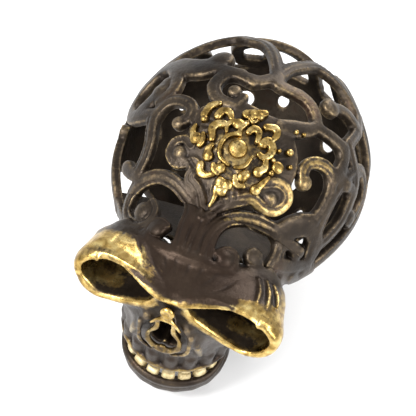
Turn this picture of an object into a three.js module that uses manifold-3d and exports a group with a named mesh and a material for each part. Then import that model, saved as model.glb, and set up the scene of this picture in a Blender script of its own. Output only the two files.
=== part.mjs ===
// An openwork brass skull ornament, modelled piece by piece as its wax modeller builds it: a pierced
// skullcap of scroll bands, a face mask with deep eye sockets, a lower jaw, two rows of teeth and
// the rosette of curls and beads on the brow plate.
// Units are millimetres. +Z is up, the face looks along -Y, and the skull stands on z = 0 on the
// flat underside of its jaw and on the foot ring of its neck. X is zero on the middle plane.

import * as THREE from "three";
import { mergeVertices } from "three/addons/utils/BufferGeometryUtils.js";
import Module from "manifold-3d";

const wasm = await Module();
wasm.setup();

// Driving dimensions
const SKULL_HALF_WIDTH = 31; // dome, middle of the wall
const SKULL_HALF_LENGTH = 35.5;
const DOME_RISE = 28.5; // crown above the widest level
const DOME_LEVEL = 38; // widest level above the table
const WALL = 2.4; // thickness of a scroll band, through the wall
const BAND_WIDTH = 2.9; // width of a plain scroll band
const SEAM = 0.3; // clearance between pieces that meet
const BAND_FACET = 4.2; // length of one facet along a band
const OVERRUN = 6; // how far a cutter passes the surface it opens

const VISOR_REACH = 12; // how far the brow plate stands out where the mask takes over
const SEAM_TOP_REACH = 41; // the seam between mask and skullcap, in front of the dome's centre
const SEAM_TOP_LEVEL = 52;
const SEAM_SIDE_REACH = 24;
const SEAM_SIDE_LEVEL = 30;

const FACE_HALF_SPAN = 28; // middle plane to the tip of a brow wing
const FACE_REACH = 54; // dome's centre to the front of the face
const BROW_LEVEL = 50; // height of the brow's edge
const FACE_WALL = 2.6;
const SOCKET_DEPTH = 15;
const SOCKET_WALL = 1.5;
const NOSE_DEPTH = 8;
const NOSE_RIM = 1.5; // thickness of the rolled rim round the nose

const JAW_SETBACK = 16.5; // from the front of the face back to the middle of the jaw's curve
const JAW_REACH = FACE_REACH - JAW_SETBACK;
const JAW_RADIUS = 15;
const JAW_WALL = 4.4;
const JAW_HEIGHT = 10;
const JAW_RAMUS_RISE = 6; // how much higher the jaw stands at its back ends
const GUM_LEVEL = 17.4;
const TOOTH_WIDTH = 4.1;
const TOOTH_DEPTH = 2.8;
const BITE_LEVEL = 13.4; // where the two rows of teeth meet

const FOOT_RING_HEIGHT = 3.4;
const FOOT_RING_HALF_WIDTH = 11.5;
const FOOT_RING_HALF_LENGTH = 13;

const MATERIALS = {
  patina: new THREE.MeshStandardMaterial({ color: 0x4a403a, roughness: 0.45, metalness: 0.9 }),
  polished: new THREE.MeshStandardMaterial({ color: 0xc9a659, roughness: 0.25, metalness: 1 }),
  teeth: new THREE.MeshStandardMaterial({ color: 0xd9cda4, roughness: 0.35, metalness: 0.8 }),
};

// The dome is drawn on a flat chart. A chart point (across, back) has a radius: 0 is the crown, 1 is
// the widest level and 2 is the table. Both numbers are shares, so the drawing follows the dome.
function planSize(size, footSize, drop) {
  const ease = 0.5 * (1 + Math.cos(Math.PI * Math.min(Math.max(drop, 0), 1)));
  return footSize + (size - footSize) * ease;
}

// Towards the brow the wall leaves the dome and stands out as a visor, forward and upward
const VISOR_START_SHARE = 0.62;
const VISOR_FULL_SHARE = 0.9;
const VISOR_RISE_SHARES = [0.87, 0.13];
function visorLift(across, back) {
  const run = Math.max(-back - VISOR_START_SHARE, 0) / (VISOR_FULL_SHARE - VISOR_START_SHARE);
  const width = Math.max(1 - Math.abs(across) ** 4, 0);
  return VISOR_REACH * (VISOR_RISE_SHARES[0] * run + VISOR_RISE_SHARES[1] * run * run) * width;
}
const VISOR_DIRECTION = new THREE.Vector3(0, -0.62, 0.78);

function domePoint(across, back) {
  const radius = Math.max(Math.hypot(across, back), 1e-6);
  const over = radius <= 1;
  const angle = (radius * Math.PI) / 2;
  const [halfWidth, halfLength] = over
    ? [SKULL_HALF_WIDTH * Math.sin(angle), SKULL_HALF_LENGTH * Math.sin(angle)]
    : [
        planSize(SKULL_HALF_WIDTH, FOOT_RING_HALF_WIDTH, radius - 1),
        planSize(SKULL_HALF_LENGTH, FOOT_RING_HALF_LENGTH, radius - 1),
      ];
  const height = over ? DOME_RISE * Math.cos(angle) : -DOME_LEVEL * (radius - 1);
  const x = (halfWidth * across) / radius;
  const y = (halfLength * back) / radius;
  return new THREE.Vector3(x, y, DOME_LEVEL + height)
    .addScaledVector(VISOR_DIRECTION, visorLift(across, back));
}

const CHART_STEP_SHARE = 0.004;
function domeNormal(across, back) {
  const h = CHART_STEP_SHARE;
  const alongX = domePoint(across + h, back).sub(domePoint(across - h, back));
  const alongY = domePoint(across, back + h).sub(domePoint(across, back - h));
  return alongX.cross(alongY).normalize();
}

// A point on the chart, lifted off the middle of the wall
function liftedPoint(across, back, lift) {
  return domePoint(across, back).addScaledVector(domeNormal(across, back), lift);
}

// Solids

function geometryOf(points, triangles) {
  const flat = points.flatMap((p) => [p.x, p.y, p.z]);
  return new THREE.BufferGeometry()
    .setAttribute("position", new THREE.Float32BufferAttribute(flat, 3))
    .setIndex(triangles);
}

function solidOf(geometry) {
  const bare = geometry.clone();
  bare.deleteAttribute("normal");
  bare.deleteAttribute("uv");
  const merged = mergeVertices(bare, 1e-4);
  const solid = new wasm.Manifold(
    new wasm.Mesh({
      numProp: 3,
      vertProperties: new Float32Array(merged.attributes.position.array),
      triVerts: new Uint32Array(merged.index.array),
    }),
  );
  return solid;
}

// A closed skin over rings that all have the same number of points, with a flat cap at each end
function loftSolid(rings) {
  const count = rings[0].length;
  const points = rings.flat();
  const triangles = [];
  for (let r = 0; r < rings.length - 1; r++)
    for (let i = 0; i < count; i++) {
      const a = r * count + i;
      const b = r * count + ((i + 1) % count);
      triangles.push(a, b, a + count, b, b + count, a + count);
    }
  const capOf = (start, turned) => {
    const ring = rings[turned ? rings.length - 1 : 0];
    const middle = ring.reduce((sum, p) => sum.add(p), new THREE.Vector3()).divideScalar(count);
    points.push(middle);
    const hub = points.length - 1;
    for (let i = 0; i < count; i++) {
      const a = start + i;
      const b = start + ((i + 1) % count);
      triangles.push(...(turned ? [hub, a, b] : [hub, b, a]));
    }
  };
  capOf(0, false);
  capOf((rings.length - 1) * count, true);
  const solid = solidOf(geometryOf(points, triangles));
  if (solid.volume() >= 0) return solid;
  const flipped = triangles.flatMap((_, i) => (i % 3 ? [] : [triangles[i], triangles[i + 2], triangles[i + 1]]));
  return solidOf(geometryOf(points, flipped));
}

// Facets thinner than this are left out of a finished piece
const SLIVER = 0.03;

const joined = (solids) => solids.reduce((whole, solid) => whole.add(solid));

function meshOf(name, solid, material) {
  const made = solid.asOriginal().simplify(SLIVER).getMesh();
  const geometry = new THREE.BufferGeometry()
    .setAttribute("position", new THREE.BufferAttribute(made.vertProperties, 3))
    .setIndex(new THREE.BufferAttribute(made.triVerts, 1));
  geometry.computeVertexNormals();
  const mesh = new THREE.Mesh(geometry, material);
  mesh.name = name;
  return mesh;
}

// Scroll bands

// Half of a band's section, as shares of its half width and half thickness: flat inside, crowned out
const BAND_SECTION_SHARES = [[-1, -1], [1, -1], [1, 0.2], [0, 1], [-1, 0.2]];

// A band that follows a curve on the dome. Its width shares are spread evenly along it. A length on
// the chart grows by about DOME_STRETCH when it is wrapped on the dome.
const DOME_STRETCH = 1.35;
function bandSolid({ path_shares, width_shares = [1, 1], lift = 0, thickness = WALL, step = BAND_FACET }) {
  const curve = new THREE.CatmullRomCurve3(
    path_shares.map(([a, b]) => new THREE.Vector3(a, b, 0)), false, "centripetal",
  );
  const flatLength = curve.getLength() * SKULL_HALF_LENGTH;
  const steps = Math.max(2, Math.round((flatLength * DOME_STRETCH) / step));
  const spots = curve.getSpacedPoints(steps);
  const rings = spots.map((spot, i) => {
    const before = spots[Math.max(i - 1, 0)];
    const after = spots[Math.min(i + 1, steps)];
    const along = domePoint(after.x, after.y).sub(domePoint(before.x, before.y)).normalize();
    const out = domeNormal(spot.x, spot.y);
    const side = along.cross(out).normalize();
    const place = (i / steps) * (width_shares.length - 1);
    const low = Math.min(Math.floor(place), width_shares.length - 2);
    const share = THREE.MathUtils.lerp(width_shares[low], width_shares[low + 1], place - low);
    const halfWidth = (share * BAND_WIDTH) / 2;
    const middle = liftedPoint(spot.x, spot.y, lift);
    return BAND_SECTION_SHARES.map(([s, t]) =>
      middle.clone().addScaledVector(side, s * halfWidth).addScaledVector(out, (t * thickness) / 2),
    );
  });
  return loftSolid(rings);
}

// A rounded button on the dome: the eye of a curl, a bead or a boss
const BUTTON_SIDES = 8;
const BUTTON_PROFILE_SHARES = [[0.92, -1], [1, 0], [0.62, 1]];
function buttonSolid({ spot_share, radius, lift = 0, thickness = WALL, sides = BUTTON_SIDES }) {
  const [across, back] = spot_share;
  const out = domeNormal(across, back);
  const side = new THREE.Vector3(1, 0, 0).cross(out).normalize();
  const other = out.clone().cross(side);
  const middle = liftedPoint(across, back, lift);
  const rings = BUTTON_PROFILE_SHARES.map(([wide, high]) =>
    Array.from({ length: sides }, (_, i) => {
      const turn = (i / sides) * 2 * Math.PI;
      return middle.clone()
        .addScaledVector(side, Math.cos(turn) * radius * wide)
        .addScaledVector(other, Math.sin(turn) * radius * wide)
        .addScaledVector(out, (high * thickness) / 2);
    }),
  );
  return loftSolid(rings);
}

// A piece of the wall inside an outline that any point of its middle can see
const PATCH_RING_SHARES = [0.34, 0.7, 1];
function patchSolid({ outline_shares, thickness = WALL, lift = 0 }) {
  const count = outline_shares.length;
  const middle = [0, 1].map((k) => outline_shares.reduce((sum, spot) => sum + spot[k], 0) / count);
  const ringAt = (share, height) =>
    outline_shares.map(([a, b]) =>
      liftedPoint(middle[0] + (a - middle[0]) * share, middle[1] + (b - middle[1]) * share, height),
    );
  const under = PATCH_RING_SHARES.map((share) => ringAt(share, lift - thickness / 2));
  const over = PATCH_RING_SHARES.map((share) => ringAt(share, lift + thickness / 2)).reverse();
  return loftSolid([...under, ...over]);
}

// A ribbon of the wall between two edges that have the same number of places
const RIBBON_SHARES = [0, 0.5, 1];
function ribbonSolid({ upper_shares, lower_shares, thickness = WALL, lift = 0 }) {
  return loftSolid(
    upper_shares.map((upper, k) => {
      const spotAt = (share, height) => {
        const across = THREE.MathUtils.lerp(upper[0], lower_shares[k][0], share);
        const back = THREE.MathUtils.lerp(upper[1], lower_shares[k][1], share);
        return liftedPoint(across, back, height);
      };
      const under = RIBBON_SHARES.map((share) => spotAt(share, lift - thickness / 2));
      const over = RIBBON_SHARES.map((share) => spotAt(share, lift + thickness / 2)).reverse();
      return [...under, ...over];
    }),
  );
}

// The skullcap: every scroll is a band on the chart, ending in a button. Places are shares of the
// dome, so [0, 0] is the crown, [0, -1] the front and [1, 0] the right side at the widest level.
const SCROLLS = {
  left_brow_volute: {
    path_shares: [[-0.085, -0.8], [-0.09, -0.67], [-0.15, -0.578], [-0.325, -0.515], [-0.515, -0.588],
      [-0.585, -0.737], [-0.53, -0.795], [-0.42, -0.797], [-0.33, -0.74], [-0.37, -0.67]],
    width_shares: [0.9, 1.1, 1, 1, 0.9],
    buttons: [[-0.41, -0.71, 0.85]],
  },
  left_brow_curl: {
    path_shares: [[-0.35, -0.9], [-0.335, -0.81], [-0.27, -0.757], [-0.205, -0.762]],
    buttons: [[-0.24, -0.8, 0.8]],
  },
  left_temple_scroll: {
    path_shares: [[-0.5, -0.5], [-0.46, -0.34], [-0.48, -0.21], [-0.40, -0.125], [-0.27, -0.16], [-0.28, -0.225]],
    buttons: [[-0.31, -0.25, 0.6]],
  },
  left_stem: {
    path_shares: [[-0.02, -0.65], [-0.06, -0.58], [-0.155, -0.495], [-0.235, -0.43], [-0.3, -0.36], [-0.255, -0.33]],
    width_shares: [0.9, 0.8, 0.8],
    buttons: [[-0.245, -0.38, 0.75]],
  },
  right_stem: {
    path_shares: [[-0.02, -0.65], [0.05, -0.58], [0.2, -0.48], [0.33, -0.495], [0.375, -0.415], [0.28, -0.373]],
    width_shares: [0.9, 0.9, 0.8],
    buttons: [[0.29, -0.455, 0.6]],
  },
  right_brow_arch: {
    path_shares: [[0.07, -0.83], [0.08, -0.68], [0.175, -0.6], [0.325, -0.575], [0.465, -0.615], [0.51, -0.75]],
    width_shares: [0.9, 1, 1.1, 1.2, 1],
    buttons: [],
  },
  right_brow_curl: {
    path_shares: [[0.28, -0.92], [0.285, -0.845], [0.20, -0.78], [0.15, -0.83]],
    buttons: [[0.215, -0.83, 0.8]],
  },
  right_brow_leaf: {
    path_shares: [[0.4, -0.95], [0.45, -0.83], [0.37, -0.755]],
    width_shares: [1, 1.1, 1.2],
    buttons: [[0.37, -0.755, 0.85]],
  },
  right_temple_plate: {
    path_shares: [[0.41, -0.57], [0.52, -0.49], [0.605, -0.4], [0.61, -0.288], [0.57, -0.18], [0.43, -0.18], [0.39, -0.25]],
    width_shares: [1.7, 1.5, 1.2, 1, 1, 0.9],
    buttons: [[0.405, -0.285, 0.7]],
  },
  right_temple_tip: {
    path_shares: [[0.52, -0.49], [0.62, -0.47], [0.72, -0.5], [0.73, -0.62], [0.66, -0.68], [0.52, -0.72]],
    width_shares: [1.3, 1, 1, 1],
    buttons: [[0.61, -0.6, 0.75]],
  },
  left_side_hook: {
    path_shares: [[-0.475, -0.2], [-0.66, -0.17], [-0.76, -0.06], [-0.74, 0.04], [-0.58, 0.18], [-0.455, 0.055], [-0.43, -0.075]],
    width_shares: [1, 1, 1.2, 1.3, 1.1, 0.9],
    buttons: [[-0.515, -0.05, 0.9]],
  },
  left_crown_leaf: {
    path_shares: [[-0.55, 0.18], [-0.4, 0.10], [-0.3, 0.09], [-0.235, 0.15]],
    width_shares: [1.4, 1.3, 1.1],
    buttons: [[-0.235, 0.16, 0.95]],
  },
  crown_spiral: {
    path_shares: [[-0.3, 0.09], [-0.13, 0.065], [-0.185, 0.025], [-0.2, -0.035], [-0.14, -0.1], [-0.045, -0.08]],
    buttons: [[-0.09, -0.045, 0.65]],
  },
  crown_link: {
    path_shares: [[-0.13, 0.065], [-0.03, 0.045], [0.075, 0.12]],
    buttons: [],
  },
  crown_rim_left: {
    path_shares: [[-0.58, 0.22], [-0.46, 0.38], [-0.28, 0.5], [-0.15, 0.42], [-0.015, 0.31], [0.07, 0.13]],
    buttons: [],
  },
  crown_rim_right: {
    path_shares: [[0.07, 0.13], [0.165, 0.31], [0.29, 0.41], [0.46, 0.4], [0.59, 0.32], [0.6, 0.2], [0.55, 0.05]],
    buttons: [],
  },
  crown_branch: {
    path_shares: [[0.07, 0.13], [0.12, 0.07], [0.21, 0.08], [0.32, 0.03], [0.36, -0.02], [0.53, 0.0]],
    buttons: [],
  },
  crown_bud: {
    path_shares: [[0.6, 0.2], [0.47, 0.2], [0.38, 0.14]],
    buttons: [[0.38, 0.14, 0.95]],
  },
  crown_leaf: {
    path_shares: [[0.36, -0.02], [0.27, -0.1], [0.2, -0.13]],
    width_shares: [0.8, 1.1, 1.4],
    buttons: [],
  },
  right_side_link: {
    path_shares: [[0.53, 0.0], [0.58, -0.06], [0.57, -0.18]],
    buttons: [],
  },
  right_side_band: {
    path_shares: [[0.55, 0.05], [0.66, 0.0], [0.77, -0.1], [0.8, -0.27], [0.76, -0.42], [0.72, -0.5]],
    width_shares: [1, 1.1, 1, 1],
    buttons: [[0.67, -0.14, 0.75]],
  },
  right_temple_bud: { path_shares: [[0.48, -0.62], [0.61, -0.6]], width_shares: [1.1, 0.9], buttons: [] },
  left_side_leaf: { path_shares: [[-0.6, -0.16], [-0.56, -0.1], [-0.515, -0.05]], width_shares: [1, 1.2, 1.3], buttons: [] },
  right_side_tie: {
    path_shares: [[0.57, -0.18], [0.67, -0.14], [0.77, -0.1]],
    width_shares: [0.8, 0.8],
    buttons: [],
  },
};

// The solid parts of the wall between the scrolls
const PLATES_SHARES = {
  rosette_plate: [[-0.22, -0.15], [0, -0.08], [0.2, -0.12], [0.35, -0.2], [0.37, -0.35], [0.27, -0.5],
    [0.05, -0.62], [-0.15, -0.5], [-0.23, -0.35]],
  fork_plate: [[-0.12, -0.66], [-0.02, -0.62], [0.1, -0.66], [0.14, -0.78], [0.12, -0.92], [-0.12, -0.92], [-0.15, -0.78]],
};

// The brow plate runs from temple to temple under the curls, as a ribbon between two edges
const BROW_UPPER_SHARES = [[-0.8, -0.58], [-0.64, -0.73], [-0.5, -0.83], [-0.3, -0.85], [-0.12, -0.8]];
const BROW_LOWER_SHARES = [[-0.84, -0.8], [-0.7, -0.95], [-0.55, -1.05], [-0.33, -1.1], [-0.12, -1.1]];
// The sides and the back carry the same scrolls again, in pairs round the skull. A place here is
// [turns of a quarter from the right side towards the back, chart radius].
function roundSkull(middleTurn, spots) {
  return spots.map(([turn, radius]) => {
    const angle = ((middleTurn + turn) * Math.PI) / 2;
    return [Math.cos(angle) * radius, Math.sin(angle) * radius];
  });
}
const UPPER_VOLUTE_SHARES = [[-0.3, 1.12], [-0.3, 0.9], [-0.2, 0.72], [0, 0.66], [0.16, 0.76], [0.13, 0.92], [-0.02, 0.94]];
const UPPER_EYE_SHARES = [[-0.03, 0.895]];
const LOWER_VOLUTE_SHARES = [[-0.3, 1.1], [-0.06, 1.04], [0.2, 1.14], [0.22, 1.34], [0.06, 1.42], [-0.06, 1.32]];
const LOWER_EYE_SHARES = [[-0.02, 1.3]];
const STEM_SHARES = [[0.3, 0.98], [0.32, 1.2], [0.3, 1.5], [0.3, 1.8], [0.3, 1.93]];
const LINK_SHARES = [[-0.3, 1.1], [-0.2, 1.3], [-0.12, 1.5], [0.02, 1.7], [0.3, 1.8]];
const ROUND_TURNS_SHARES = [-0.12, 0.5, 1.12, 1.74];
for (const [place, middleTurn] of ROUND_TURNS_SHARES.entries()) {
  const at = (spots) => roundSkull(middleTurn, spots);
  const eyeOf = (spots, size) => at(spots).map(([a, b]) => [a, b, size]);
  SCROLLS[`upper_volute_${place}`] = { path_shares: at(UPPER_VOLUTE_SHARES), buttons: eyeOf(UPPER_EYE_SHARES, 0.8) };
  SCROLLS[`lower_volute_${place}`] = { path_shares: at(LOWER_VOLUTE_SHARES), buttons: eyeOf(LOWER_EYE_SHARES, 0.8) };
  SCROLLS[`stem_${place}`] = { path_shares: at(STEM_SHARES), buttons: [] };
  SCROLLS[`link_${place}`] = { path_shares: at(LINK_SHARES), buttons: [] };
}
SCROLLS.last_stem = { path_shares: roundSkull(-0.74, STEM_SHARES), buttons: [] };
SCROLLS.waist = {
  path_shares: roundSkull(0, [[-0.45, 1.1], [0, 1.03], [0.5, 1.08], [1, 1.02], [1.5, 1.08], [2, 1.03], [2.45, 1.1]]),
  buttons: [],
};

function browPlateSolid() {
  const withMirror = (spots) => [...spots, ...spots.map(([across, back]) => [-across, back]).reverse()];
  return ribbonSolid({
    upper_shares: withMirror(BROW_UPPER_SHARES),
    lower_shares: withMirror(BROW_LOWER_SHARES),
  });
}

const EYE_RADIUS = 2.6; // largest button at the end of a curl

function scrollSolid({ path_shares, width_shares, buttons }) {
  const band = bandSolid({ path_shares, width_shares });
  const eyes = buttons.map(([across, back, size]) =>
    buttonSolid({ spot_share: [across, back], radius: EYE_RADIUS * size }),
  );
  return joined([band, ...eyes]);
}

// The seam between the skullcap and the face mask is a plane that leans forward over the temples
const SEAM_LEAN = new THREE.Vector3(
  0,
  SEAM_TOP_LEVEL - SEAM_SIDE_LEVEL,
  SEAM_TOP_REACH - SEAM_SIDE_REACH,
).normalize();
const SEAM_OFFSET = SEAM_LEAN.dot(new THREE.Vector3(0, -SEAM_TOP_REACH, SEAM_TOP_LEVEL));
const behindSeam = (solid) => solid.trimByPlane(SEAM_LEAN.toArray(), SEAM_OFFSET + SEAM / 2);

const capParts = [
  ...Object.values(SCROLLS).map(scrollSolid),
  ...Object.values(PLATES_SHARES).map((outline_shares) => patchSolid({ outline_shares })),
  browPlateSolid(),
];
const wholeCap = behindSeam(joined(capParts)).trimByPlane([0, 0, 1], FOOT_RING_HEIGHT + SEAM);

// Face mask. Each row runs from the middle plane to the side: shares of half span, reach and level.
const MASK_ROW_SHARES = [
  [[0, 0.976, 0.35], [0.214, 0.952, 0.35], [0.41, 0.874, 0.36], [0.535, 0.74, 0.38], [0.57, 0.56, 0.41], [0.58, 0.34, 0.46]],
  [[0, 0.981, 0.44], [0.214, 0.96, 0.44], [0.418, 0.88, 0.45], [0.546, 0.74, 0.46], [0.6, 0.56, 0.47], [0.62, 0.36, 0.5]],
  [[0, 0.985, 0.56], [0.214, 0.96, 0.56], [0.43, 0.88, 0.56], [0.565, 0.74, 0.56], [0.64, 0.58, 0.57], [0.67, 0.42, 0.58]],
  [[0, 0.993, 0.66], [0.18, 0.974, 0.66], [0.43, 0.898, 0.65], [0.59, 0.778, 0.64], [0.69, 0.62, 0.65], [0.7, 0.47, 0.66]],
  [[0, 0.993, 0.76], [0.16, 0.981, 0.76], [0.41, 0.945, 0.72], [0.72, 0.88, 0.7], [0.79, 0.7, 0.71], [0.72, 0.51, 0.73]],
  [[0, 0.991, 0.86], [0.143, 0.981, 0.86], [0.357, 0.972, 0.81], [0.84, 0.965, 0.78], [0.85, 0.78, 0.79], [0.73, 0.56, 0.8]],
  [[0, 0.989, 0.93], [0.125, 0.981, 0.94], [0.321, 0.962, 0.91], [0.93, 0.945, 0.9], [0.87, 0.8, 0.88], [0.735, 0.61, 0.865]],
  [[0, 0.981, 0.98], [0.143, 0.97, 1], [0.375, 0.925, 1.02], [0.74, 0.88, 1.01], [0.8, 0.78, 0.955], [0.74, 0.63, 0.895]],
  [[0, 0.889, 1.01], [0.18, 0.889, 1.016], [0.43, 0.85, 1.02], [0.62, 0.8, 0.995], [0.7, 0.725, 0.955], [0.7, 0.63, 0.925]],
  [[0, 0.77, 1.035], [0.18, 0.77, 1.03], [0.4, 0.71, 0.99], [0.53, 0.67, 0.965], [0.6, 0.645, 0.955], [0.645, 0.62, 0.95]],
];
const MASK_COLUMNS = 24;
const MASK_ROWS = 16;

function throughPoints(points, count) {
  return new THREE.CatmullRomCurve3(points, false, "centripetal").getPoints(count);
}

function maskGrid() {
  const rows = MASK_ROW_SHARES.map((row) => {
    const right = row.map(([x, reach, level]) =>
      new THREE.Vector3(x * FACE_HALF_SPAN, -reach * FACE_REACH, level * BROW_LEVEL),
    );
    const left = right.slice(1).reverse().map((p) => new THREE.Vector3(-p.x, p.y, p.z));
    return throughPoints([...left, ...right], MASK_COLUMNS);
  });
  const columns = rows[0].map((_, i) => throughPoints(rows.map((row) => row[i]), MASK_ROWS));
  return columns[0].map((_, j) => columns.map((column) => column[j]));
}

function gridNormals(grid) {
  return grid.map((row, j) =>
    row.map((_, i) => {
      const across = grid[j][Math.min(i + 1, row.length - 1)].clone().sub(grid[j][Math.max(i - 1, 0)]);
      const up = grid[Math.min(j + 1, grid.length - 1)][i].clone().sub(grid[Math.max(j - 1, 0)][i]);
      return across.cross(up).normalize();
    }),
  );
}

// The directions through the wall, evened out so that its inside turns softly behind a sharp edge
const EVENING_PASSES = 2;
function wallDirections(grid) {
  let directions = gridNormals(grid);
  for (let pass = 0; pass < EVENING_PASSES; pass++)
    directions = directions.map((row, j) =>
      row.map((direction, i) => {
        const beside = [row[i - 1], row[i + 1], directions[j - 1]?.[i], directions[j + 1]?.[i]];
        const sum = direction.clone();
        for (const other of beside) if (other) sum.add(other);
        return sum.normalize();
      }),
    );
  return directions;
}

// A closed sheet over the grid, from one depth behind its face to another
function sheetSolid(grid, frontDepth, backDepth) {
  const normals = wallDirections(grid);
  const width = grid[0].length;
  const count = grid.length * width;
  const layer = (depth) =>
    grid.flatMap((row, j) => row.map((p, i) => p.clone().addScaledVector(normals[j][i], -depth)));
  const triangles = [];
  const quad = (a, b, c, d) => triangles.push(a, b, c, a, c, d);
  for (let j = 0; j < grid.length - 1; j++)
    for (let i = 0; i < width - 1; i++) {
      const a = j * width + i;
      quad(a, a + 1, a + 1 + width, a + width);
      quad(count + a, count + a + width, count + a + 1 + width, count + a + 1);
    }
  for (let i = 0; i < width - 1; i++) {
    const top = (grid.length - 1) * width + i;
    quad(i + 1, i, count + i, count + i + 1);
    quad(top, top + 1, count + top + 1, count + top);
  }
  for (let j = 0; j < grid.length - 1; j++) {
    const left = j * width;
    const right = left + width - 1;
    quad(left, left + width, count + left + width, count + left);
    quad(right + width, right, count + right, count + right + width);
  }
  return solidOf(geometryOf([...layer(frontDepth), ...layer(backDepth)], triangles));
}

// Openings in the mask: outlines in shares of half span and brow level, seen from the front
const SOCKET_SHARES = [[0.14, 0.965], [0.26, 0.98], [0.375, 0.992], [0.535, 0.99], [0.67, 0.975], [0.79, 0.945], [0.855, 0.9],
  [0.83, 0.85], [0.75, 0.81], [0.654, 0.79], [0.53, 0.8], [0.41, 0.825], [0.3, 0.86], [0.2, 0.905]];
const NOSE_SHARES = [[0, 0.885], [0.05, 0.84], [0.065, 0.78], [0.125, 0.72], [0.115, 0.66], [0.05, 0.625], [0, 0.65],
  [-0.05, 0.625], [-0.115, 0.66], [-0.125, 0.72], [-0.065, 0.78], [-0.05, 0.84]];

function facePoint([x, level], y) {
  return new THREE.Vector3(x * FACE_HALF_SPAN, y, level * BROW_LEVEL);
}

// The outline carried back from the front of the face. depth_shares are [depth, size] pairs.
function pocketSolid({ outline_shares, depth, depth_shares, grow = 0 }) {
  const flat = outline_shares.map((spot) => facePoint(spot, 0));
  const middle = flat.reduce((sum, p) => sum.add(p), new THREE.Vector3()).divideScalar(flat.length);
  return loftSolid(
    depth_shares.map(([deep, size]) =>
      outline_shares.map((spot) => {
        const arm = facePoint(spot, 0).sub(middle);
        const length = arm.length() * size + grow;
        const point = arm.setLength(length).add(middle);
        point.y = deep * depth - FACE_REACH + (deep < 0 ? -OVERRUN : 0);
        return point;
      }),
    ),
  );
}
const mirrorX = (spots) => spots.map(([x, level]) => [-x, level]).reverse();

const THROUGH_SHARES = [[-0.2, 1], [1, 1]];
const SOCKET_BOWL_SHARES = [[-0.2, 1], [0.35, 0.98], [0.6, 0.9], [0.8, 0.74], [0.94, 0.5], [1, 0.2]];

const grid = maskGrid();
const frontOfMask = sheetSolid(grid, 0, FACE_WALL);

// The room that the mask takes, with a seam all round it
const AXES = [[1, 0, 0], [0, 1, 0], [0, 0, 1]];
function roomRound(solid, clearance) {
  const moves = AXES.flatMap((axis) => [axis, axis.map((part) => -part)]);
  return joined(moves.map((move) => solid.translate(move.map((part) => part * clearance))));
}
const maskRoom = joined([SEAM, 2 * SEAM].map((clearance) => roomRound(frontOfMask, clearance)));
const largestOf = (solid) =>
  solid.decompose().reduce((most, piece) => (piece.volume() > most.volume() ? piece : most));

function cutMask() {
  const cuts = [SOCKET_SHARES, mirrorX(SOCKET_SHARES)].map((outline_shares) =>
    pocketSolid({ outline_shares, depth: SOCKET_DEPTH, depth_shares: THROUGH_SHARES }),
  );
  cuts.push(pocketSolid({ outline_shares: NOSE_SHARES, depth: NOSE_DEPTH, depth_shares: THROUGH_SHARES }));
  return cuts.reduce((solid, cut) => solid.subtract(cut), frontOfMask);
}

// A cup behind an opening, in one piece, clear of the mask by a seam
function cupSolid({ outline_shares, depth, wall }) {
  const outer = pocketSolid({ outline_shares, depth: depth + wall, depth_shares: SOCKET_BOWL_SHARES, grow: wall });
  const inner = pocketSolid({ outline_shares, depth, depth_shares: SOCKET_BOWL_SHARES });
  const pieces = outer.subtract(inner).subtract(maskRoom).decompose();
  return pieces.reduce((deepest, piece) =>
    piece.boundingBox().max[1] > deepest.boundingBox().max[1] ? piece : deepest,
  );
}

// Jaw and teeth follow one arc round the mouth. A turn of zero is the middle of the chin.
function jawPoint(turn, radius, level) {
  return new THREE.Vector3(Math.sin(turn) * radius, -JAW_REACH - Math.cos(turn) * radius, level);
}

const JAW_HALF_TURN = 1.9;
const JAW_STEPS = 26;
const RAMUS_START_SHARE = 0.77;
const JAW_SECTION_SHARES = [[0.67, 0], [0.84, 0.3], [0.98, 0.7], [0.98, 1]];
function jawSolid() {
  const rings = Array.from({ length: JAW_STEPS + 1 }, (_, i) => {
    const turn = -JAW_HALF_TURN + (2 * JAW_HALF_TURN * i) / JAW_STEPS;
    const rise = Math.max((Math.abs(turn) / JAW_HALF_TURN - RAMUS_START_SHARE) / (1 - RAMUS_START_SHARE), 0) * JAW_RAMUS_RISE;
    const outside = JAW_SECTION_SHARES.map(([wide, high]) =>
      jawPoint(turn, wide * JAW_RADIUS, high * (JAW_HEIGHT + rise)),
    );
    const inside = JAW_SECTION_SHARES.map(([wide, high]) =>
      jawPoint(turn, wide * JAW_RADIUS - JAW_WALL, high * (JAW_HEIGHT + rise)),
    ).reverse();
    return [...outside, ...inside];
  });
  return loftSolid(rings);
}

// One tooth: a block that narrows from its crown to its neck, rounded towards the lip
const TOOTH_SECTION_SHARES = [[-0.5, 0], [-0.5, 0.62], [-0.28, 1], [0.28, 1], [0.5, 0.62], [0.5, 0]];
function toothSolid(turn, neckLevel, biteLevel) {
  const levels = [[neckLevel, 0.82], [(neckLevel + biteLevel) / 2, 1], [biteLevel, 0.93]];
  const middle = jawPoint(turn, JAW_RADIUS - TOOTH_DEPTH, 0);
  const side = new THREE.Vector3(Math.cos(turn), Math.sin(turn), 0);
  const out = new THREE.Vector3(Math.sin(turn), -Math.cos(turn), 0);
  return loftSolid(
    levels.map(([level, size]) =>
      TOOTH_SECTION_SHARES.map(([s, t]) => {
        const point = middle.clone().addScaledVector(side, s * TOOTH_WIDTH * size);
        point.addScaledVector(out, t * TOOTH_DEPTH * size);
        return point.setZ(level);
      }),
    ),
  );
}

const TEETH_IN_ROW = 8;
const TOOTH_GAP = 0.7;
const toothTurns = Array.from(
  { length: TEETH_IN_ROW },
  (_, i) => ((i - (TEETH_IN_ROW - 1) / 2) * (TOOTH_WIDTH + TOOTH_GAP)) / (JAW_RADIUS - TOOTH_DEPTH / 2),
);

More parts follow.
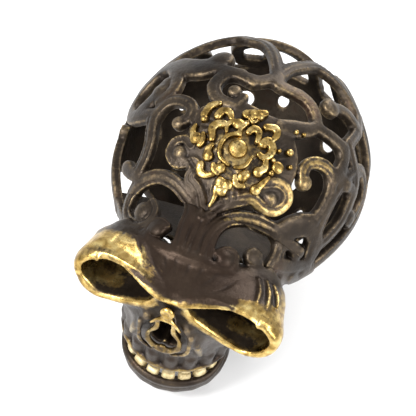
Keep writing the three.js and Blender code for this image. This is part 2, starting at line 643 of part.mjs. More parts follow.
// Foot ring: the flat hem of the neck, which stands on the table
const RING_SIDES = 28;
const RING_SECTION_SHARES = [[1.04, 0], [1.0, 1]];
const RING_BORE_SHARES = [[0.78, -1], [0.78, 2]];
function footRingSolid() {
  const ringAt = ([wide, high]) =>
    Array.from({ length: RING_SIDES }, (_, i) => {
      const turn = (i / RING_SIDES) * 2 * Math.PI;
      return new THREE.Vector3(
        Math.cos(turn) * FOOT_RING_HALF_WIDTH * wide,
        Math.sin(turn) * FOOT_RING_HALF_LENGTH * wide,
        high * FOOT_RING_HEIGHT,
      );
    });
  const outer = loftSolid(RING_SECTION_SHARES.map(ringAt));
  const hole = RING_BORE_SHARES.map(ringAt);
  return outer.subtract(loftSolid(hole));
}

// Rolled rim round the nose opening, just clear of the mask
const NOSE_RIM_SIDES = 6;
function noseRimSolid() {
  const flat = NOSE_SHARES.map((spot) => facePoint(spot, 0));
  const middle = flat.reduce((sum, p) => sum.add(p), new THREE.Vector3()).divideScalar(flat.length);
  const centre = flat.map((p) => {
    const arm = p.clone().sub(middle);
    return arm.setLength(arm.length() + NOSE_RIM / 2).add(middle).setY(-FACE_REACH - NOSE_RIM / 2);
  });
  const points = [];
  const triangles = [];
  centre.forEach((p, k) => {
    const outward = p.clone().sub(middle).setY(0).normalize();
    for (let s = 0; s < NOSE_RIM_SIDES; s++) {
      const turn = (s / NOSE_RIM_SIDES) * 2 * Math.PI;
      const spot = p.clone().addScaledVector(outward, (Math.cos(turn) * NOSE_RIM) / 2);
      points.push(spot.setY(p.y + (Math.sin(turn) * NOSE_RIM) / 2));
      const next = ((k + 1) % centre.length) * NOSE_RIM_SIDES;
      const a = k * NOSE_RIM_SIDES + s;
      const b = k * NOSE_RIM_SIDES + ((s + 1) % NOSE_RIM_SIDES);
      const c = next + s;
      const d = next + ((s + 1) % NOSE_RIM_SIDES);
      triangles.push(a, b, c, b, d, c);
    }
  });
  const solid = solidOf(geometryOf(points, triangles));
  if (solid.volume() >= 0) return solid;
  const flipped = triangles.map((_, i) => triangles[i - (i % 3) + (2 - (i % 3))]);
  return solidOf(geometryOf(points, flipped));
}

// The rosette sits on the middle plate: [across, back, radius] for beads, paths for the curls
const RELIEF_HEIGHT = 1.8;
const CURL_WIDTH_SHARE = 0.42;
const RELIEF_LIFT = WALL / 2 + SEAM + RELIEF_HEIGHT / 2;
const BEAD_RADIUS = 1.5;
const ROSETTE_BEADS_SHARES = {
  boss: [0.035, -0.31, 1.55],
  top_bead: [-0.005, -0.205, 0.97],
  right_bead: [0.248, -0.314, 0.97],
  lower_right_bead: [0.191, -0.44, 0.85],
  low_bead: [0.106, -0.425, 0.85],
  lower_left_bead: [-0.015, -0.42, 0.85],
  heart_leaf: [0.032, -0.49, 1.15],
  left_bead: [-0.178, -0.316, 1.0],
  upper_left_bead: [-0.17, -0.215, 0.8],
  comma_bead: [0.169, -0.371, 0.8],
};
const ROSETTE_CURLS_SHARES = {
  left_petal: [[-0.068, -0.229], [-0.117, -0.256], [-0.11, -0.278], [-0.082, -0.302]],
  top_petal: [[0.05, -0.225], [0.073, -0.19], [0.105, -0.225]],
  upper_right_curl: [[0.121, -0.172], [0.165, -0.155], [0.19, -0.18], [0.171, -0.212]],
  right_petal: [[0.135, -0.25], [0.16, -0.232], [0.187, -0.25], [0.19, -0.275], [0.165, -0.302]],
  lower_left_curl: [[-0.112, -0.44], [-0.078, -0.46], [-0.037, -0.455]],
  left_comma: [[-0.091, -0.34], [-0.095, -0.4]],
  upper_left_curl: [[-0.114, -0.196], [-0.098, -0.166], [-0.046, -0.17]],
  crown_patch: [[0.01, -0.155], [0.055, -0.14]],
};

const pieces = [];
const addPiece = (name, solid, material) => pieces.push(meshOf(name, solid, material));

const mask = cutMask();
const cups = {
  right_eye_socket: cupSolid({ outline_shares: SOCKET_SHARES, depth: SOCKET_DEPTH, wall: SOCKET_WALL }),
  left_eye_socket: cupSolid({ outline_shares: mirrorX(SOCKET_SHARES), depth: SOCKET_DEPTH, wall: SOCKET_WALL }),
  nose_cup: cupSolid({ outline_shares: NOSE_SHARES, depth: NOSE_DEPTH, wall: SOCKET_WALL }),
};
const cupRoom = [SOCKET_SHARES, mirrorX(SOCKET_SHARES)].map((outline_shares) =>
  pocketSolid({
    outline_shares,
    depth: SOCKET_DEPTH + SOCKET_WALL + SEAM,
    depth_shares: SOCKET_BOWL_SHARES,
    grow: SOCKET_WALL + SEAM,
  }),
);
const cap = [maskRoom, ...cupRoom].reduce((solid, cut) => solid.subtract(cut), wholeCap);
addPiece("skullcap", largestOf(cap), MATERIALS.patina);
addPiece("face_mask", mask, MATERIALS.patina);
for (const [name, solid] of Object.entries(cups)) addPiece(name, solid, MATERIALS.patina);
addPiece("nose_rim", noseRimSolid(), MATERIALS.polished);
addPiece("lower_jaw", jawSolid(), MATERIALS.patina);
toothTurns.forEach((turn, i) => {
  addPiece(`upper_tooth_${i + 1}`, toothSolid(turn, GUM_LEVEL - SEAM, BITE_LEVEL + SEAM / 2), MATERIALS.teeth);
  addPiece(`lower_tooth_${i + 1}`, toothSolid(turn, JAW_HEIGHT + SEAM, BITE_LEVEL - SEAM / 2), MATERIALS.teeth);
});
addPiece("foot_ring", footRingSolid(), MATERIALS.patina);
for (const [name, [across, back, size]] of Object.entries(ROSETTE_BEADS_SHARES)) {
  const radius = size * BEAD_RADIUS;
  const solid = buttonSolid({ spot_share: [across, back], radius, lift: RELIEF_LIFT, thickness: RELIEF_HEIGHT });
  addPiece(`rosette_${name}`, solid, MATERIALS.polished);
}
for (const [name, path_shares] of Object.entries(ROSETTE_CURLS_SHARES)) {
  const width_shares = [CURL_WIDTH_SHARE, CURL_WIDTH_SHARE];
  const solid = bandSolid({ path_shares, width_shares, lift: RELIEF_LIFT, thickness: RELIEF_HEIGHT, step: BAND_FACET / 2 });
  addPiece(`rosette_${name}`, solid, MATERIALS.polished);
}

const skull = new THREE.Group();
skull.name = "brass_skull";
pieces.forEach((piece) => skull.add(piece));

// The origin is the middle of the skull's box, at the table
const box = new THREE.Box3().setFromObject(skull);
const middleOfBox = box.getCenter(new THREE.Vector3());
skull.position.set(-middleOfBox.x, -middleOfBox.y, -box.min.z);

export default skull;
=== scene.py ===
# %% [markdown]
# # An openwork brass skull ornament
# The real object is a palm-sized skull cast in brass by the lost-wax way. A carver cuts scrolls in a wax
# shell, the wax melts out of a clay mould, and brass takes its place. The casting is darkened with a brown
# patina and then rubbed bright where it stands proud. This script dresses the measured CAD frame with the
# carved surface: every piece below is made where the frame says and replaces the plain solid under it.

# %% Load the frame
import math

import bpy
import numpy as np
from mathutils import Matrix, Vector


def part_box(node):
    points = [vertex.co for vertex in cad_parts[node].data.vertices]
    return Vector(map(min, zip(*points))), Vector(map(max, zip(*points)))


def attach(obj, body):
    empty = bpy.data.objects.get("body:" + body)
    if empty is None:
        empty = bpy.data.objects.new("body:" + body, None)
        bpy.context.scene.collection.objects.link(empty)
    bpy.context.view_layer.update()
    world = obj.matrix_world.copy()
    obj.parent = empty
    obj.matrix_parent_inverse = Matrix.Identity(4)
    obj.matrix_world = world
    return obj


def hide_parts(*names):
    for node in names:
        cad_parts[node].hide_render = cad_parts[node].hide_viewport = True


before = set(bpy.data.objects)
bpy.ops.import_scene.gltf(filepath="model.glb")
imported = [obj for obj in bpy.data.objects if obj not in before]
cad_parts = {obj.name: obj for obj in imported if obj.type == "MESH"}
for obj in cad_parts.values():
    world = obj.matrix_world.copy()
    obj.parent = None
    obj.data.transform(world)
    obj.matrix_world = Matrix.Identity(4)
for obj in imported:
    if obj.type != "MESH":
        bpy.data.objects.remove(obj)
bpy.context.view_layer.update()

import openvdb
from mathutils import Matrix, Vector

MM = 0.001

# %% [markdown]
# ## Millimetres round the middle of the dome
# A modeller measures a skull from its own middle, so every place below is in millimetres from the middle of
# the foot ring, with z from the table. One function turns such places into the frame's metres.

# %% Places in millimetres
ring_low, ring_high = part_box("foot_ring")
MIDDLE = np.array([(ring_low[0] + ring_high[0]) / 2, (ring_low[1] + ring_high[1]) / 2, 0.0])


def in_frame(places):
    return np.asarray(places, dtype=float) * MM + MIDDLE


print("middle of the dome", MIDDLE.round(4))

# %% [markdown]
# ## Camera
# The photograph looks steeply down on the crown from a little to the skull's left, with the head rolled.
# The camera's axes come from three angles: round the object, above the table, and the roll.

# %% Camera at the photograph's angle
DOME_LEVEL = 38.0
IMAGE_WIDTH = 416
CAMERA_AZIMUTH = math.radians(12.4)
CAMERA_ELEVATION = math.radians(51.1)
CAMERA_ROLL = math.radians(9.5)
CAMERA_DISTANCE = 404.0
CAMERA_SLIDE = (-8.4, -10.3)
FOCAL_PIXELS = 1601
SENSOR_WIDTH = 36.0


def camera_axes(azimuth, elevation, roll):
    right = np.array([math.cos(azimuth), math.sin(azimuth), 0])
    flat = math.cos(elevation)
    back = np.array([math.sin(azimuth) * flat, -math.cos(azimuth) * flat, math.sin(elevation)])
    up = np.cross(back, right)
    turned_right = math.cos(roll) * right + math.sin(roll) * up
    turned_up = math.cos(roll) * up - math.sin(roll) * right
    return turned_right, turned_up, back


right, up, back = camera_axes(CAMERA_AZIMUTH, CAMERA_ELEVATION, CAMERA_ROLL)
eye = np.array([0, 0, DOME_LEVEL]) + CAMERA_DISTANCE * back + CAMERA_SLIDE[0] * right + CAMERA_SLIDE[1] * up
camera_data = bpy.data.cameras.new("photo_camera")
camera_data.sensor_width = SENSOR_WIDTH
camera_data.lens = SENSOR_WIDTH * FOCAL_PIXELS / IMAGE_WIDTH
camera_data.clip_start = MM
camera = bpy.data.objects.new("photo_camera", camera_data)
turn = Matrix([right, up, back]).transposed().to_4x4()
camera.matrix_world = Matrix.Translation(in_frame(eye)) @ turn
bpy.context.collection.objects.link(camera)
bpy.context.scene.camera = camera
print("lens", round(camera_data.lens, 1), "mm at", in_frame(eye).round(3))

# %% [markdown]
# ## The dome's chart
# The scrolls were drawn on a round shell. A flat chart makes them easy to draw: a place is (across, back),
# the crown is the middle, radius 1 is the widest level and radius 2 is the table. The chart below is the
# frame's own, with the visor that stands out over the brow, so each scroll lies exactly on the CAD's.

# %% From the chart to the dome
HALF_WIDTH = 31.0
HALF_LENGTH = 35.5
DOME_RISE = 28.5
WALL = 2.4
FOOT_HALF_WIDTH = 11.5
FOOT_HALF_LENGTH = 13.0
VISOR_REACH = 12.0
VISOR_START_SHARE = 0.62
VISOR_FULL_SHARE = 0.9
VISOR_RISE_SHARES = (0.87, 0.13)
VISOR_DIRECTION = np.array([0, -0.62, 0.78])
VISOR_SIDE_POWER = 4
LEAST_RADIUS = 1e-6
NORMAL_STEP = 0.004


def radius_of(a, b):
    return np.maximum(np.hypot(a, b), LEAST_RADIUS)


def foot_ease(half_size, foot_size, radius):
    ease = 0.5 * (1 + np.cos(math.pi * np.clip(radius - 1, 0, 1)))
    return foot_size + (half_size - foot_size) * ease


def dome_point(across, back):
    radius = radius_of(across, back)
    swing = np.minimum(radius, 1) * math.pi / 2
    over = radius <= 1
    low_width = foot_ease(HALF_WIDTH, FOOT_HALF_WIDTH, radius)
    low_length = foot_ease(HALF_LENGTH, FOOT_HALF_LENGTH, radius)
    half_width = np.where(over, HALF_WIDTH * np.sin(swing), low_width)
    half_length = np.where(over, HALF_LENGTH * np.sin(swing), low_length)
    height = np.where(over, DOME_RISE * np.cos(swing), -DOME_LEVEL * (radius - 1))
    run = np.maximum(-back - VISOR_START_SHARE, 0) / (VISOR_FULL_SHARE - VISOR_START_SHARE)
    rise = VISOR_RISE_SHARES[0] * run + VISOR_RISE_SHARES[1] * run**2
    lift = VISOR_REACH * rise * np.maximum(1 - np.abs(across) ** VISOR_SIDE_POWER, 0)
    place = np.stack([half_width * across / radius, half_length * back / radius, DOME_LEVEL + height], -1)
    return place + lift[..., None] * VISOR_DIRECTION


def dome_normal(across, back, step=NORMAL_STEP):
    along_x = dome_point(across + step, back) - dome_point(across - step, back)
    along_y = dome_point(across, back + step) - dome_point(across, back - step)
    normal = np.cross(along_x, along_y)
    return normal / np.linalg.norm(normal, axis=-1, keepdims=True)


def dome_spot(spot):
    """The place on the dome of one spot of the chart."""
    return dome_point(np.array(spot[0]), np.array(spot[1]))


print("crown", dome_spot((0.0, 0.0)).round(1), "brow", dome_spot((0.0, -0.9)).round(1))

# %% [markdown]
# ## Smooth paths
# A carved scroll has no corners. A path here is a few places joined by a smooth curve, then walked in even
# steps, so that a stroke's width can change evenly along it.

# %% A smooth curve through a few places
STEPS_PER_PLACE = 12


def curve_through(places, spots):
    """The smooth curve through the places, at spots counted in places from the first."""
    places = np.asarray(places, dtype=float)
    gaps = np.sqrt(np.linalg.norm(np.diff(places, axis=0), axis=1))[:, None]
    slopes = np.diff(places, axis=0) / gaps
    inner = (slopes[:-1] * gaps[1:] + slopes[1:] * gaps[:-1]) / (gaps[:-1] + gaps[1:])
    tangents = np.vstack([slopes[:1], inner, slopes[-1:]])
    index = np.clip(np.floor(spots).astype(int), 0, len(gaps) - 1)
    t = (spots - index)[:, None]
    gap = gaps[index]
    return (
        (2 * t**3 - 3 * t**2 + 1) * places[index]
        + (t**3 - 2 * t**2 + t) * gap * tangents[index]
        + (3 * t**2 - 2 * t**3) * places[index + 1]
        + (t**3 - t**2) * gap * tangents[index + 1]
    )


def smooth_path(places, count):
    curve = curve_through(places, np.linspace(0, len(places) - 1, STEPS_PER_PLACE * len(places)))
    steps = np.concatenate([[0], np.cumsum(np.linalg.norm(np.diff(curve, axis=0), axis=1))])
    even = np.linspace(0, steps[-1], count)
    return np.stack([np.interp(even, steps, curve[:, k]) for k in range(curve.shape[1])], -1)


def even_values(values, count):
    return np.interp(np.linspace(0, 1, count), np.linspace(0, 1, len(values)), values)


print("a bend in five steps:", smooth_path([(0, 0), (1, 1), (2, 0)], 5).round(2).tolist())

# %% [markdown]
# ## A sheet of wax to carve
# The wax shell could be modelled band by band, but where bands meet, the carver blends them with a warm
# tool, and separate tubes show hard creases there. So the shell is a relief map on the chart instead: for
# every small cell it keeps how far the cell is from the edge of the solid part, and how high its surface
# stands. Bands, eyes, plates and cut lines are painted on it like strokes of wax. What lies below the widest
# level is squeezed on the sheet, so that its cells stay about even on the skull. A value of 9 mm means far.

# %% Cells of the chart
RADIUS_SQUEEZE = 0.62
FAR = 9.0
TINY = 1e-9


def squeezed(across, back):
    radius = radius_of(across, back)
    flat = np.where(radius <= 1, radius, 1 + (radius - 1) * RADIUS_SQUEEZE)
    return across * flat / radius, back * flat / radius


def unsqueezed(u, v):
    flat = radius_of(u, v)
    radius = np.where(flat <= 1, flat, 1 + (flat - 1) / RADIUS_SQUEEZE)
    return u * radius / flat, v * radius / flat


def wax_sheet(low, high, step):
    u = np.arange(low[0], high[0], step)
    v = np.arange(low[1], high[1], step)
    grid_u, grid_v = np.meshgrid(u, v, indexing="ij")
    across, back = unsqueezed(grid_u, grid_v)
    far = np.full(across.shape, FAR)
    return {
        "low": np.array(low), "step": step, "across": across, "back": back,
        "place": dome_point(across, back), "outside": far, "top": -far.copy(),
        "bottom": np.full(across.shape, -WALL / 2),
    }


def smooth_min(a, b, blend):
    near = np.maximum(blend - np.abs(a - b), 0) / blend
    return np.minimum(a, b) - near**2 * blend / 4


def smooth_max(a, b, blend):
    return -smooth_min(-a, -b, blend)


print("two marks of one height, blended over 1 mm, rise", smooth_max(0.0, 0.0, 1.0), "mm where they meet")

# %% [markdown]
# ## Strokes
# Each stroke measures real millimetres on the dome, not on the chart, so a band keeps its width where the
# chart is stretched. A stroke is walked in short runs, and each run looks only at the cells near it.

# %% Distance from a stroke
RUN = 10
REACH_SHARE = 0.13
LOWER_REACH_SHARE = 0.9
STROKE_STEP = 0.55
CHART_RADIUS = 48


def stroke_field(sheet, path_shares, widths):
    length_shares = np.linalg.norm(np.diff(np.asarray(path_shares), axis=0), axis=1).sum()
    count = max(int(length_shares * CHART_RADIUS / STROKE_STEP), 6)
    path = smooth_path(path_shares, count)
    half = even_values(widths, count) / 2
    spots = dome_point(path[:, 0], path[:, 1])
    shape = sheet["outside"].shape
    distance = np.full(shape, FAR)
    half_width = np.full(shape, half.mean())
    side = np.ones(shape)
    for start in range(0, count - 1, RUN):
        stop = min(start + RUN, count - 1)
        part = path[start:stop + 1]
        radius = np.hypot(part[:, 0], part[:, 1]).max()
        reach = REACH_SHARE + LOWER_REACH_SHARE * max(radius - 1, 0)
        window = window_of(sheet, part.min(0) - reach, part.max(0) + reach)
        if window is None:
            continue
        cells = sheet["place"][window]
        chart_a, chart_b = sheet["across"][window], sheet["back"][window]
        best, best_half, best_side = distance[window], half_width[window], side[window]
        for k in range(start, stop):
            arm = spots[k + 1] - spots[k]
            t = np.clip(((cells - spots[k]) @ arm) / max(arm @ arm, TINY), 0, 1)
            d = np.linalg.norm(cells - spots[k] - t[..., None] * arm, axis=-1)
            closer = d < best
            best[closer] = d[closer]
            best_half[closer] = (half[k] + (half[k + 1] - half[k]) * t)[closer]
            turn = path[k + 1] - path[k]
            cross = turn[0] * (chart_b - path[k, 1]) - turn[1] * (chart_a - path[k, 0])
            best_side[closer] = np.sign(cross[closer])
    return distance, half_width, side


def window_of(sheet, low, high):
    corners = np.array([[a, b] for a in (low[0], high[0]) for b in (low[1], high[1])])
    corners = np.vstack([corners, [[np.clip(0, low[0], high[0]), np.clip(0, low[1], high[1])]]])
    u, v = squeezed(corners[:, 0], corners[:, 1])
    first = np.floor((np.array([u.min(), v.min()]) - sheet["low"]) / sheet["step"]).astype(int) - 2
    last = np.ceil((np.array([u.max(), v.max()]) - sheet["low"]) / sheet["step"]).astype(int) + 3
    first = np.maximum(first, 0)
    last = np.minimum(last, sheet["outside"].shape)
    if (first >= last).any():
        return None
    return slice(first[0], last[0]), slice(first[1], last[1])


print("a stroke is walked in steps of", STROKE_STEP, "mm")

# %% [markdown]
# ## The carver's marks
# A band is a rounded ridge, often with a thin rim left along its edges. An eye is the round bulb that ends a
# scroll. A plate is a flat ground between scrolls. A hole is pierced through, and a line is cut or raised by
# a thin tool.

# %% Band and eye
FILLET = 1.3
WIDTH_SHARE = 1.27
STEP_BLEND = 0.25
STEP_SLOPE = 3.0
RIM_INSET = 0.85
RIM_GROOVE_WIDTH = 0.34
GROOVE_SHARE = 1.35
RIDGE_POWER = 4


def lay(sheet, outside, top):
    sheet["outside"] = smooth_min(sheet["outside"], outside, FILLET)
    sheet["top"] = smooth_max(sheet["top"], top, STEP_BLEND)


def band(sheet, path_shares, widths, lift=0.65, crown=0.6, outer=0.0, inner=0.0):
    distance, half_width, side = stroke_field(sheet, path_shares, np.array(widths) * WIDTH_SHARE)
    outside = distance - half_width
    ridge = crown * np.sqrt(np.clip(1 - (distance / half_width) ** RIDGE_POWER, 0, 1))
    inset = half_width - distance
    groove = np.exp(-(((inset - RIM_INSET) / RIM_GROOVE_WIDTH) ** 2))
    cut = groove * np.where(side > 0, outer, inner) * GROOVE_SHARE
    top = lift + ridge - cut - STEP_SLOPE * np.maximum(outside, 0)
    lay(sheet, outside, top)


def eye_mark(sheet, spot, radius, lift=0.6, crown=1.1):
    distance = np.linalg.norm(sheet["place"] - dome_spot(spot), axis=-1)
    dome = crown * np.sqrt(np.clip(1 - (distance / radius) ** 2, 0, 1))
    lay(sheet, distance - radius, lift + dome - STEP_SLOPE * np.maximum(distance - radius, 0))


print("bands are drawn", WIDTH_SHARE, "times as wide as their rows say")

# %% Plate, hole and line
PLATE_STEPS = 120
PLATE_EDGE = [0.2, 0.2]


def inside_outline(sheet, outline):
    inside = np.zeros(sheet["outside"].shape, dtype=bool)
    a, b = sheet["across"], sheet["back"]
    for start, end in zip(outline, np.roll(outline, -1, axis=0)):
        crosses = (start[1] > b) != (end[1] > b)
        drop = end[1] - start[1]
        at = start[0] + (b - start[1]) * (end[0] - start[0]) / (drop if abs(drop) > TINY else TINY)
        inside ^= crosses & (a < at)
    return inside


def plate(sheet, outline_shares, lift):
    outline = np.vstack([outline_shares, outline_shares[:1]])
    distance, _, _ = stroke_field(sheet, outline, PLATE_EDGE)
    inside = inside_outline(sheet, smooth_path(outline, PLATE_STEPS))
    outside = np.where(inside, -distance, distance)
    lay(sheet, outside, np.where(outside < 0, lift, lift - STEP_SLOPE * outside))


def pierce(sheet, spot, radius):
    """Opens a hole through the shell."""
    distance = np.linalg.norm(sheet["place"] - dome_spot(spot), axis=-1)
    sheet["outside"] = smooth_max(sheet["outside"], radius - distance, FILLET)


def line(sheet, path_shares, height, width):
    distance, _, _ = stroke_field(sheet, path_shares, [width, width])
    sheet["top"] = sheet["top"] + height * np.exp(-((distance / width) ** 2))


print("marks ready: band, eye_mark, plate, pierce, line")

# %% [markdown]
# ## From relief to a closed skin
# A relief map alone would give a flat picture. Each cell is stacked through the wall, and the value of each
# little block says how far it is outside the brass. OpenVDB, the volume library that comes with Blender,
# finds the skin where that value is zero, in even quads, with every hole and edge closed.

# %% Skin of a volume
SKIN_REACH = 3.0


def skin_of(field):
    field = np.pad(np.clip(field, -SKIN_REACH, SKIN_REACH), 1, constant_values=SKIN_REACH)
    grid = openvdb.FloatGrid(FAR)
    grid.copyFromArray(np.ascontiguousarray(field, dtype=np.float32))
    points, _, quads = grid.convertToPolygons(isovalue=0.0, adaptivity=0.0)
    return points.astype(float), quads[:, ::-1].astype(int)


def outward(points, quads):
    a, b, c, d = (points[quads[:, k]] for k in range(4))
    volume = np.einsum("ij,ij->i", a, np.cross(b - a, c - a) + np.cross(c - a, d - a)).sum()
    return quads if volume > 0 else quads[:, ::-1]


def mesh_object(name, points, quads):
    """A smooth-shaded object from places in millimetres and quads."""
    quads = outward(points, quads)
    mesh = bpy.data.meshes.new(name)
    mesh.vertices.add(len(points))
    mesh.vertices.foreach_set("co", in_frame(points).astype(np.float32).ravel())
    mesh.loops.add(quads.size)
    mesh.loops.foreach_set("vertex_index", quads.astype(np.int32).ravel())
    mesh.polygons.add(len(quads))
    mesh.polygons.foreach_set("loop_start", np.arange(0, quads.size, 4, dtype=np.int32))
    mesh.polygons.foreach_set("loop_total", np.full(len(quads), 4, dtype=np.int32))
    mesh.polygons.foreach_set("use_smooth", np.ones(len(quads), dtype=bool))
    mesh.update(calc_edges=True)
    mesh.validate()
    piece = bpy.data.objects.new(name, mesh)
    bpy.context.collection.objects.link(piece)
    return piece


print("skins are read within", SKIN_REACH, "mm of the surface")

# %% [markdown]
# A skin from a grid still shows the grid as fine steps, which bright metal would give away. Easing each
# vertex a little towards its neighbours takes the steps out and leaves the form.

# %% Smoothing, and the carved sheet
ROUNDING = 0.4
RELAX_PASSES = 2
RELAX_SHARE = 0.4


def relax(points, quads, passes, share):
    """Eases each vertex towards the middle of its neighbours."""
    edges = np.vstack([quads[:, [k, (k + 1) % 4]] for k in range(4)])
    for _ in range(passes):
        total = np.zeros_like(points)
        count = np.zeros(len(points))
        for first, second in ((0, 1), (1, 0)):
            for k in range(3):
                total[:, k] += np.bincount(edges[:, first], points[edges[:, second], k], len(points))
            count += np.bincount(edges[:, first], minlength=len(points))
        points = points + share * (total / count[:, None] - points)
    return points


def carved(name, sheet, low, high, layer):
    """Stacks a relief map through the wall and maps its skin back on to the dome."""
    heights = np.arange(low, high, layer)
    outside = sheet["outside"][..., None] + ROUNDING
    above = heights - sheet["top"][..., None]
    below = sheet["bottom"][..., None] - heights
    across = np.maximum(above, below) + ROUNDING
    field = np.minimum(np.maximum(outside, across), 0)
    field += np.hypot(np.maximum(outside, 0), np.maximum(across, 0)) - ROUNDING
    points, quads = skin_of(field)
    u = sheet["low"][0] + (points[:, 0] - 1) * sheet["step"]
    v = sheet["low"][1] + (points[:, 1] - 1) * sheet["step"]
    a, b = unsqueezed(u, v)
    height = low + (points[:, 2] - 1) * layer
    places = dome_point(a, b) + dome_normal(a, b) * height[:, None]
    places = relax(places, quads, RELAX_PASSES, RELAX_SHARE)
    print(name, len(quads), "quads")
    return mesh_object(name, places, quads), places


print("edges of the sheet are rounded by", ROUNDING, "mm")

# %% [markdown]
# ## The openwork cranium
# These scrolls are the heart of the piece. Each row below is one stroke of the carver: the places that it
# goes through on the chart, its widths in millimetres, and how deep the grooves along its two edges are. The
# eyes that end the scrolls follow.

# %% Scrolls over the brow
BROW_SCROLLS = [
    dict(path_shares=[(-0.075, -0.86), (-0.088, -0.725), (-0.085, -0.67), (-0.10, -0.615), (-0.15, -0.578),
                      (-0.22, -0.538), (-0.325, -0.515), (-0.42, -0.535), (-0.515, -0.588), (-0.57, -0.663),
                      (-0.585, -0.737), (-0.53, -0.795), (-0.42, -0.80), (-0.34, -0.752), (-0.318, -0.70),
                      (-0.35, -0.655)],
         widths=[3.0, 3.1, 3.0, 3.0, 2.9, 2.7, 2.4, 1.9], outer=0.42, inner=0.25),
    dict(path_shares=[(-0.36, -0.93), (-0.335, -0.83), (-0.30, -0.767), (-0.25, -0.745), (-0.205, -0.762)],
         widths=[1.9, 1.9, 1.8], outer=0.25, inner=0.0),
    dict(path_shares=[(0.07, -0.86), (0.06, -0.75), (0.08, -0.68), (0.12, -0.632), (0.175, -0.60),
                      (0.25, -0.58), (0.325, -0.575), (0.41, -0.578), (0.465, -0.615), (0.50, -0.68),
                      (0.515, -0.76)],
         widths=[2.8, 2.9, 2.9, 2.7, 2.5], outer=0.45, inner=0.35),
    dict(path_shares=[(0.28, -0.95), (0.285, -0.845), (0.255, -0.79), (0.20, -0.78), (0.16, -0.815)],
         widths=[2.2, 1.9, 1.6], outer=0.25, inner=0.0),
    dict(path_shares=[(0.40, -0.95), (0.45, -0.83), (0.42, -0.78), (0.37, -0.755)], widths=[2.4, 2.4, 2.2]),
    dict(path_shares=[(-0.02, -0.65), (-0.06, -0.58), (-0.10, -0.53), (-0.155, -0.495), (-0.14, -0.45),
                      (-0.15, -0.42), (-0.19, -0.43), (-0.25, -0.445), (-0.305, -0.40), (-0.295, -0.345),
                      (-0.24, -0.325), (-0.195, -0.35)],
         widths=[2.2, 2.1, 2.0, 1.9, 1.8], outer=0.35, inner=0.3),
    dict(path_shares=[(-0.02, -0.65), (0.05, -0.58), (0.12, -0.53), (0.2, -0.49), (0.27, -0.505),
                      (0.33, -0.495), (0.365, -0.46), (0.375, -0.415), (0.345, -0.378), (0.28, -0.373),
                      (0.22, -0.405)],
         widths=[2.4, 2.4, 2.2, 2.1, 1.9], outer=0.35, inner=0.2, lift=0.75),
]
BROW_EYES = [((-0.41, -0.71), 2.4), ((-0.262, -0.795), 2.1), ((-0.248, -0.39), 1.7), ((0.215, -0.83), 2.0),
             ((0.37, -0.755), 2.4), ((0.29, -0.455), 1.7)]
print(len(BROW_SCROLLS), "scrolls and", len(BROW_EYES), "eyes over the brow")

# %% [markdown]
# Behind the brow the scrolls grow wider and looser. Two large ones meet at the crown, smaller ones fill the
# temples, and a broad leaf closes the left side. They are drawn after the photograph, one by one.

